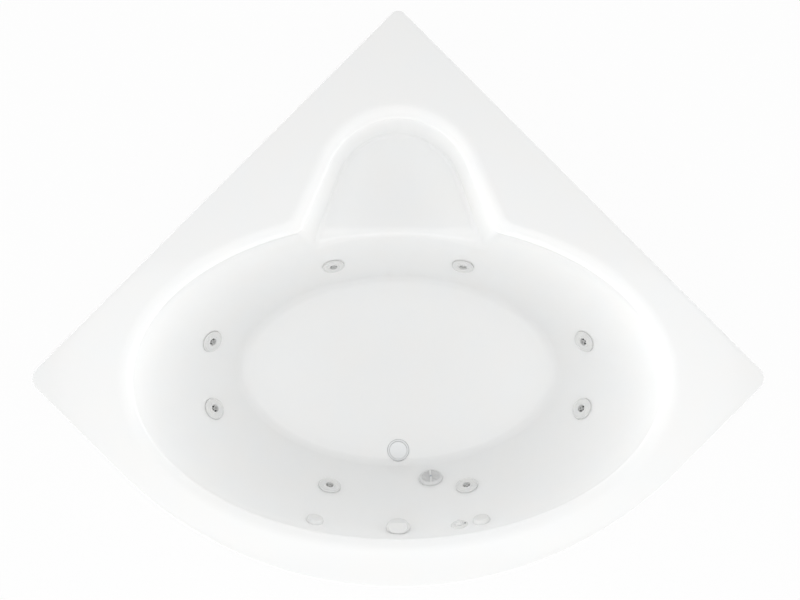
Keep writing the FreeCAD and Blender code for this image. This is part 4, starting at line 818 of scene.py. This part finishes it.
def cut_openings(shell):
    """Drills the shell, and flattens it under each flange."""
    tools = bmesh.new()
    for place, hole, flat in OPENINGS:
        turned(tools, [(0, -HOLE_DEPTH), (hole, -HOLE_DEPTH), (hole, 0), (flat, 0),
                       (flat + FLAT_FLARE, FLAT_CLEARANCE), (0, FLAT_CLEARANCE)], place, segments=64)
    mesh = bpy.data.meshes.new("drills")
    tools.to_mesh(mesh)
    tools.free()
    drills = bpy.data.objects.new("drills", mesh)
    bpy.context.scene.collection.objects.link(drills)
    cut = shell.modifiers.new("openings", "BOOLEAN")
    cut.operation = "DIFFERENCE"
    cut.solver = "EXACT"
    cut.object = drills
    depsgraph = bpy.context.evaluated_depsgraph_get()
    drilled = bpy.data.meshes.new_from_object(shell.evaluated_get(depsgraph))
    shell.modifiers.clear()
    bpy.data.objects.remove(drills)
    return drilled


def make_shell():
    """The acrylic bath in one sheet, with its openings."""
    rings = shell_rings() * MM
    count, columns = rings.shape[:2]
    middle = Vector((0, BASIN_Y * MM, BASIN_FLOOR * MM))
    places = rings.reshape(-1, 3).tolist() + [list(middle), list(middle - Vector((0, 0, SHEET * MM)))]
    top_pole, low_pole = count * columns, count * columns + 1
    faces = []
    for column in range(columns):
        after = (column + 1) % columns
        faces.append((top_pole, column, after)[::-1])
        last = (count - 1) * columns
        faces.append((low_pole, last + column, last + after))
        for ring in range(count - 1):
            here, out = ring * columns, (ring + 1) * columns
            faces.append((here + column, here + after, out + after, out + column))
    mesh = bpy.data.meshes.new("bath_shell")
    mesh.from_pydata(places, [], faces)
    shell = bpy.data.objects.new("bath_shell", mesh)
    bpy.context.scene.collection.objects.link(shell)
    drilled = cut_openings(shell)
    bpy.data.objects.remove(shell)
    shape = bmesh.new()
    shape.from_mesh(drilled)
    bpy.data.meshes.remove(drilled)
    make_piece("bath_shell", shape, "root", "tub_shell")


make_shell()


# ---- Jets ----

RING_OUTLINE = [(35, 2.8), (35, 7.8, 1.75), (31.5, 7.8, 1.5), (30.8, 5.6, 0.8), (18.4, 5.6, 0.8),
                (17.5, 7.8, 0.9), (12.3, 7.8, 0.4), (13.4, 5.3), (15.2, 1.9), (16.2, -2.2), (16.2, -5.8),
                (15.2, -9.9), (12.9, -14), (19.2, -14), (19.2, 2.8)]
NOZZLE_OUTLINE = [(11.2, 6, 0.4), (12.5, 6, 0.3), (13, 5.3), (15, 1.6), (16, -2.2), (16, -5.8),
                  (15, -9.6), (12.8, -13.6), (10.1, -16.4), (8.8, -16.4), (10, -6)]
# A black liner cup in the nozzle's bore: painted shade that darkens the jet's mouth.
SHADE_LINER_OUTLINE = [(9.4, -2.2), (10.3, -2.2), (9.9, -6), (9.15, -13), (4, -13), (4, -12), (8.3, -12)]
VANE_REACH, VANE_HALF = 10.2, 0.9
VANE_LOW, VANE_HIGH = -2, 4.6
VANE_TURN = Matrix.Rotation(math.radians(45), 4, "Z")


def make_jet(name, place):
    """A directional jet: the ring that turns in the wall, and the ball nozzle with its cross vanes.

    A black liner in the nozzle's bore is painted shade, put there to make the mouth look dark.
    """
    ring = bmesh.new()
    turned(ring, RING_OUTLINE, place)
    make_piece(f"fine_ring_{name}", ring, f"ring_{name}", f"jet_ring_{name}")
    nozzle = bmesh.new()
    turned(nozzle, NOZZLE_OUTLINE, place)
    for x, y in ((VANE_REACH, VANE_HALF), (VANE_HALF, VANE_REACH)):
        bar(nozzle, (-x, -y, VANE_LOW), (x, y, VANE_HIGH), place @ VANE_TURN, 0.3)
    make_piece(f"fine_nozzle_{name}", nozzle, f"nozzle_{name}", f"jet_nozzle_{name}")
    # The nozzle's dark mouth is painted shade: a black liner set in its bore.
    shade_liner = bmesh.new()
    turned(shade_liner, SHADE_LINER_OUTLINE, place, segments=48)
    make_piece(f"fine_guide_{name}", shade_liner, f"nozzle_{name}", slot="pump_plastic")


for jet_name, jet_place in JET_PLACES.items():
    make_jet(jet_name, jet_place)


# ---- Controls ----

def make_turned(name, outline, place, body, node):
    """A piece that is one turned solid."""
    shape = bmesh.new()
    turned(shape, outline, place)
    make_piece(name, shape, body, node)


AIR_KNOB_OUTLINE = [(0, 12), (21, 12, 1.5), (23.4, 9.6, 1.5), (26, 2.3, 0.6), (26, 0.3), (23.3, 0.3),
                    (23.3, 2.3), (8, 2.3), (8, -24), (0, -24)]
SWITCH_OUTLINE = [(12.3, 3, 0.4), (23.5, 3, 1.5), (25.5, 0.9, 0.6), (25.5, 0), (16, 0), (16, -40),
                  (5, -40), (5, -52), (3.5, -52), (3.5, -36), (12.3, -36)]
BUTTON_OUTLINE = [(0, 13.6), (4, 13.7), (6.8, 14, 1.2), (8, 6.2, 1), (12, 5, 0.8), (12, -10), (0, -10)]
EYE_OUTLINE = [(0, 4.2), (1.6, 4), (2.8, 3.2), (2.8, 2), (0, 2)]
EYE_ASIDE = -17.5
COLLAR_OUTLINE = [(7.3, 3), (31, 3, 1.2), (31, 0), (22, 0), (22, -30), (19, -30), (19, -3), (7.3, -3)]
KNOB_OUTLINE = [(0, 24), (26, 24, 1.2), (28.5, 21.5, 1.5), (35, 12, 4), (35, 3.3, 1), (7, 3.3),
                (7, -30), (0, -30)]
KNOB_FLAT = Vector((0, 7, 24)), Vector((0, 33, 3.3))
DRAIN_OUTLINE = [(18, 2, 0.8), (34.5, 2, 1.6), (36.5, 0.3), (36.5, 0), (21, 0), (21, -30), (18, -30)]
STOPPER_OUTLINE = [(0, 6.3), (28.5, 6.3, 1.0), (30, 4.8, 0.8), (30, 2.3), (4, 2.3), (4, -32), (0, -32)]
HUB_OUTLINE = [(4.05, -23), (7, -23, 0.6), (7, -30), (4.05, -30)]
WEB_LOW, WEB_HIGH = (6, -1.5, -30), (19.5, 1.5, -27)
SUCTION_BODY_OUTLINE = [(23, 3), (36, 3), (36, 0), (27, 0), (27, -42), (23, -42)]
COVER_OUTLINE = [(30, 12, 0.8), (38, 12, 5.4), (38, 3, 0.3), (32, 3), (32, 9), (30, 9)]
BOSS_OUTLINE = [(2.7, 10.5), (4.5, 10.5), (4.5, -5, 0.5), (2.7, -5)]
MIDDLE_BAR_LOW, MIDDLE_BAR_HIGH = (-4.5, -31, 9), (4.5, 31, 12.2)
SLAT_HEIGHT = 10.3
SCREW_OUTLINE = [(0, 12.9), (1.4, 12.9), (1.4, 14.2, 0.2), (4, 14.2, 1.3), (4, 12.2), (2.4, 12.2),
                 (2.4, -15), (0, -15)]

for air_side, air_place in AIR_PLACES.items():
    make_turned(f"fine_air_knob_{air_side}", AIR_KNOB_OUTLINE, air_place,
                f"air_knob_{air_side}", f"air_knob_{air_side}")
make_turned("fine_switch_body", SWITCH_OUTLINE, SWITCH_PLACE, "root", "switch_body")
make_turned("fine_switch_button", BUTTON_OUTLINE, SWITCH_PLACE, "switch_button", "switch_button")
make_turned("fine_overflow_collar", COLLAR_OUTLINE, OVERFLOW_PLACE, "root", "overflow_collar")
make_turned("fine_drain_stopper", STOPPER_OUTLINE, DRAIN_PLACE, "drain_stopper", "drain_stopper")
make_turned("fine_suction_body", SUCTION_BODY_OUTLINE, SUCTION_PLACE, "root", "suction_body")
make_turned("fine_suction_screw", SCREW_OUTLINE, SUCTION_PLACE, "root", "suction_screw")


def make_overflow_knob():
    """The overflow's knob: a blunt cone with a sloping flat on its upper side."""
    knob = bmesh.new()
    turned(knob, KNOB_OUTLINE, Matrix.Identity(4))
    edge, foot = KNOB_FLAT
    out = Vector((1, 0, 0)).cross(foot - edge)
    made = bmesh.ops.bisect_plane(knob, geom=knob.verts[:] + knob.edges[:] + knob.faces[:],
                                  plane_co=edge * MM, plane_no=out, clear_outer=True)
    rim = [item for item in made["geom_cut"] if isinstance(item, bmesh.types.BMEdge)]
    bmesh.ops.holes_fill(knob, edges=rim)
    bmesh.ops.recalc_face_normals(knob, faces=knob.faces[:])
    knob.transform(OVERFLOW_PLACE)
    make_piece("fine_overflow_knob", knob, "overflow_knob", "overflow_knob")


def make_switch_eye():
    """The small dark lamp eye beside the switch's button."""
    eye = bmesh.new()
    turned(eye, EYE_OUTLINE, SWITCH_PLACE @ Matrix.Translation((EYE_ASIDE * MM, 0, 0)), segments=32)
    make_piece("fine_switch_eye", eye, "root", slot="pump_plastic")


def make_drain_flange():
    """The waste's flange, with the three-legged web that guides the stopper's stem."""
    flange = bmesh.new()
    turned(flange, DRAIN_OUTLINE, DRAIN_PLACE)
    turned(flange, HUB_OUTLINE, DRAIN_PLACE, segments=32)
    for leg in range(3):
        turn = Matrix.Rotation(math.radians(120 * leg), 4, "Z")
        bar(flange, WEB_LOW, WEB_HIGH, DRAIN_PLACE @ turn, 0.5)
    make_piece("fine_drain_flange", flange, "root", "drain_flange")


def make_suction_cover():
    """The suction's cover: a rounded rim, rows of slats and a plain middle bar that holds the screw."""
    cover = bmesh.new()
    turned(cover, COVER_OUTLINE, SUCTION_PLACE)
    turned(cover, BOSS_OUTLINE, SUCTION_PLACE, segments=32)
    bar(cover, MIDDLE_BAR_LOW, MIDDLE_BAR_HIGH, SUCTION_PLACE, 0.8)
    grow(cover, SLATS, SUCTION_PLACE @ Matrix.Translation((0, 0, SLAT_HEIGHT * MM)), Opening=31.0,
         Pitch=7.0, Count=8, Width=4.6, Thickness=2.6, Edge=0.8, Finish=FINISHES["suction_grey"])
    make_piece("fine_suction_cover", cover, "root", "suction_cover")


make_overflow_knob()
make_switch_eye()
make_drain_flange()
make_suction_cover()


# ---- Cradle ----

FEET = [(-930, BASIN_Y), (930, BASIN_Y), (0, 639.82), (-330, -730.18), (330, -730.18),
        (-330, BASIN_Y), (330, BASIN_Y)]
FOOT_OUTLINE = [(0, 0), (25, 0, 1.2), (25, 4, 1.5), (14, 8, 3), (12.5, 16, 1), (0, 16)]
STUD_OUTLINE = [(0, 8), (5.3, 8), (5.3, 74), (4.5, 75), (0, 75)]
THREAD_LOW, THREAD_LENGTH = 17, 57.0
NUT_OUTLINE = [(6.3, 0), (9.8, 0), (10.97, 0.7), (10.97, 9.3), (9.8, 10), (6.3, 10)]
NUT_LOW = 41.5
WOOD_SCREW_OUTLINE = [(0, 1.4), (1.8, 1.4), (1.8, 0, 0.2), (3.4, 0, 0.5), (5, 1.3, 0.5), (5, 2.4),
                      (2.4, 2.4), (2.4, 15.6), (0.4, 17.4), (0, 17.4)]
SCREW_REACH = 25
SCREW_LOW = 503.1
POSTS = 5


def make_foot(number, x, y):
    """A levelling foot: a moulded pad, and the threaded stud that holds it."""
    place = Matrix.Translation(Vector((x, y, 0)) * MM)
    pad = bmesh.new()
    turned(pad, FOOT_OUTLINE, place, segments=64)
    make_piece(f"fine_pad_{number}", pad, f"foot_{number}", f"levelling_foot_{number}")
    stud = bmesh.new()
    turned(stud, STUD_OUTLINE, place, segments=24)
    grow(stud, THREAD, place @ Matrix.Translation((0, 0, THREAD_LOW * MM)), Radius=5.2, Pitch=2.5,
         Length=THREAD_LENGTH, Depth=0.8, Finish=FINISHES["zinc_plated_steel"])
    make_piece(f"fine_stud_{number}", stud, f"foot_{number}", slot="zinc_plated_steel")


def make_fasteners():
    """The cradle's nuts under the rails, and the wood screws through the posts' plates."""
    fasteners = bmesh.new()
    zinc = FINISHES["zinc_plated_steel"]
    origin = Matrix.Identity(4)
    nut = fixing("nut", NUT_OUTLINE, 6)
    grow(fasteners, FIXINGS, origin, [(x, y, NUT_LOW) for x, y in FEET], Fixing=nut, Finish=zinc)
    screw = fixing("wood_screw", WOOD_SCREW_OUTLINE, 24)
    places = [(x + side * SCREW_REACH, y, SCREW_LOW) for x, y in FEET[:POSTS] for side in (-1, 1)]
    grow(fasteners, FIXINGS, origin, places, Fixing=screw, Finish=zinc)
    bpy.data.objects.remove(nut)
    bpy.data.objects.remove(screw)
    make_piece("fine_fasteners", fasteners, "root", "cradle_fasteners")


for foot_number, (foot_x, foot_y) in enumerate(FEET, start=1):
    make_foot(foot_number, foot_x, foot_y)
make_fasteners()


# ---- Studio ----

FLOOR_HALF = 15.0
GLOW_SHARE = 0.94
FILL_LIGHT = 0.485
TOP_LIGHT, TOP_POWER = 0.27, 4
SIDE_LIGHT, LOW_POWER, ASIDE_POWER = 4.3, 3, 2
SIDE_MIDDLE = 0.03
OVER_FRONT = Vector((0, -0.544, 2.533))
IN_FRONT = Vector((0, -2.9, 1.5))
MIDDLE = Vector((0, -0.2, 0.3))
CAMERA_PLACE = (0.0058, -0.0026, 3.483)
LENS, SENSOR = 45.9, 36.0


def make_floor():
    """A white floor that keeps the bath's shadow and isn't seen from below."""
    mesh = bpy.data.meshes.new("studio_floor")
    places = [(x * FLOOR_HALF, y * FLOOR_HALF, 0) for x, y in ((-1, -1), (1, -1), (1, 1), (-1, 1))]
    mesh.from_pydata(places, [], [(0, 1, 2, 3)])
    floor = bpy.data.objects.new("studio_floor", mesh)
    bpy.context.scene.collection.objects.link(floor)
    material = bpy.data.materials.new("studio_floor")
    material.use_nodes = True
    tree = material.node_tree
    tree.nodes.clear()
    paint = add(tree, "ShaderNodeBsdfDiffuse", {"Color": linear("#F4F4F4")}).outputs["BSDF"]
    glow = add(tree, "ShaderNodeEmission", {"Strength": 1.0}).outputs["Emission"]
    shaded = add(tree, "ShaderNodeMixShader", {0: GLOW_SHARE, 1: paint, 2: glow}).outputs["Shader"]
    seen = add(tree, "ShaderNodeMixShader", {0: direct_view(tree), 1: paint, 2: shaded})
    clear = add(tree, "ShaderNodeBsdfTransparent").outputs["BSDF"]
    back = add(tree, "ShaderNodeNewGeometry").outputs["Backfacing"]
    sided = add(tree, "ShaderNodeMixShader", {0: back, 1: seen.outputs["Shader"], 2: clear})
    add(tree, "ShaderNodeOutputMaterial", {"Surface": sided.outputs["Shader"]})
    mesh.materials.append(material)


def direct_view(tree):
    """1 for rays from the camera, and for those that metal and glass send on."""
    path = add(tree, "ShaderNodeLightPath").outputs
    either = add(tree, "ShaderNodeMath", {0: path["Is Camera Ray"], 1: path["Is Glossy Ray"]},
                 operation="MAXIMUM").outputs[0]
    return add(tree, "ShaderNodeMath", {0: either, 1: path["Is Transmission Ray"]},
               operation="MAXIMUM").outputs[0]


def make_world():
    """Studio light: an even fill with more from above, left and right. White where it is seen."""
    world = bpy.data.worlds.new("studio")
    world.use_nodes = True
    tree = world.node_tree
    tree.nodes.clear()
    heading = add(tree, "ShaderNodeTexCoord").outputs["Generated"]
    way = add(tree, "ShaderNodeSeparateXYZ", {"Vector": heading}).outputs
    height = figure(tree, "MAXIMUM", way["Z"], 0)
    lowness = figure(tree, "POWER", figure(tree, "SUBTRACT", 1, height), LOW_POWER)
    distance = figure(tree, "ABSOLUTE", figure(tree, "SUBTRACT", way["X"], SIDE_MIDDLE))
    aside = figure(tree, "POWER", distance, ASIDE_POWER)
    sides = figure(tree, "MULTIPLY", figure(tree, "MULTIPLY", lowness, aside), SIDE_LIGHT)
    above = figure(tree, "POWER", height, TOP_POWER)
    top = figure(tree, "ADD", figure(tree, "MULTIPLY", above, TOP_LIGHT), FILL_LIGHT)
    light = figure(tree, "ADD", sides, top)
    seen = figure(tree, "MULTIPLY", direct_view(tree), figure(tree, "MAXIMUM", light, 1))
    strength = figure(tree, "MAXIMUM", light, seen)
    background = add(tree, "ShaderNodeBackground", {"Color": (1, 1, 1, 1), "Strength": strength})
    add(tree, "ShaderNodeOutputWorld", {"Surface": background.outputs["Background"]})
    bpy.context.scene.world = world


def make_soft_box(name, width, length, place, target, radiance):
    """A soft box that faces a point. Its sizes are in metres, its radiance in W/m2/sr."""
    lamp = bpy.data.lights.new(name, "AREA")
    lamp.shape = "RECTANGLE"
    lamp.size, lamp.size_y = width, length
    lamp.energy = radiance * math.pi * width * length
    box = bpy.data.objects.new(name, lamp)
    box.location = place
    box.rotation_euler = (target - place).to_track_quat("-Z", "Y").to_euler()
    bpy.context.scene.collection.objects.link(box)


def make_camera():
    """The photograph's view: straight down, with the bath's back corner up."""
    lens = bpy.data.cameras.new("camera")
    lens.lens = LENS
    lens.sensor_width = SENSOR
    camera = bpy.data.objects.new("camera", lens)
    camera.location = CAMERA_PLACE
    bpy.context.scene.collection.objects.link(camera)
    bpy.context.scene.camera = camera


make_floor()
make_world()
make_soft_box("box_over_front", 3.3, 1.4, OVER_FRONT, Vector((*OVER_FRONT.xy, 0)), 0.78)
make_soft_box("box_in_front", 2.6, 1.2, IN_FRONT, MIDDLE, 1.25)
make_camera()
bpy.context.scene.view_settings.view_transform = "Standard"
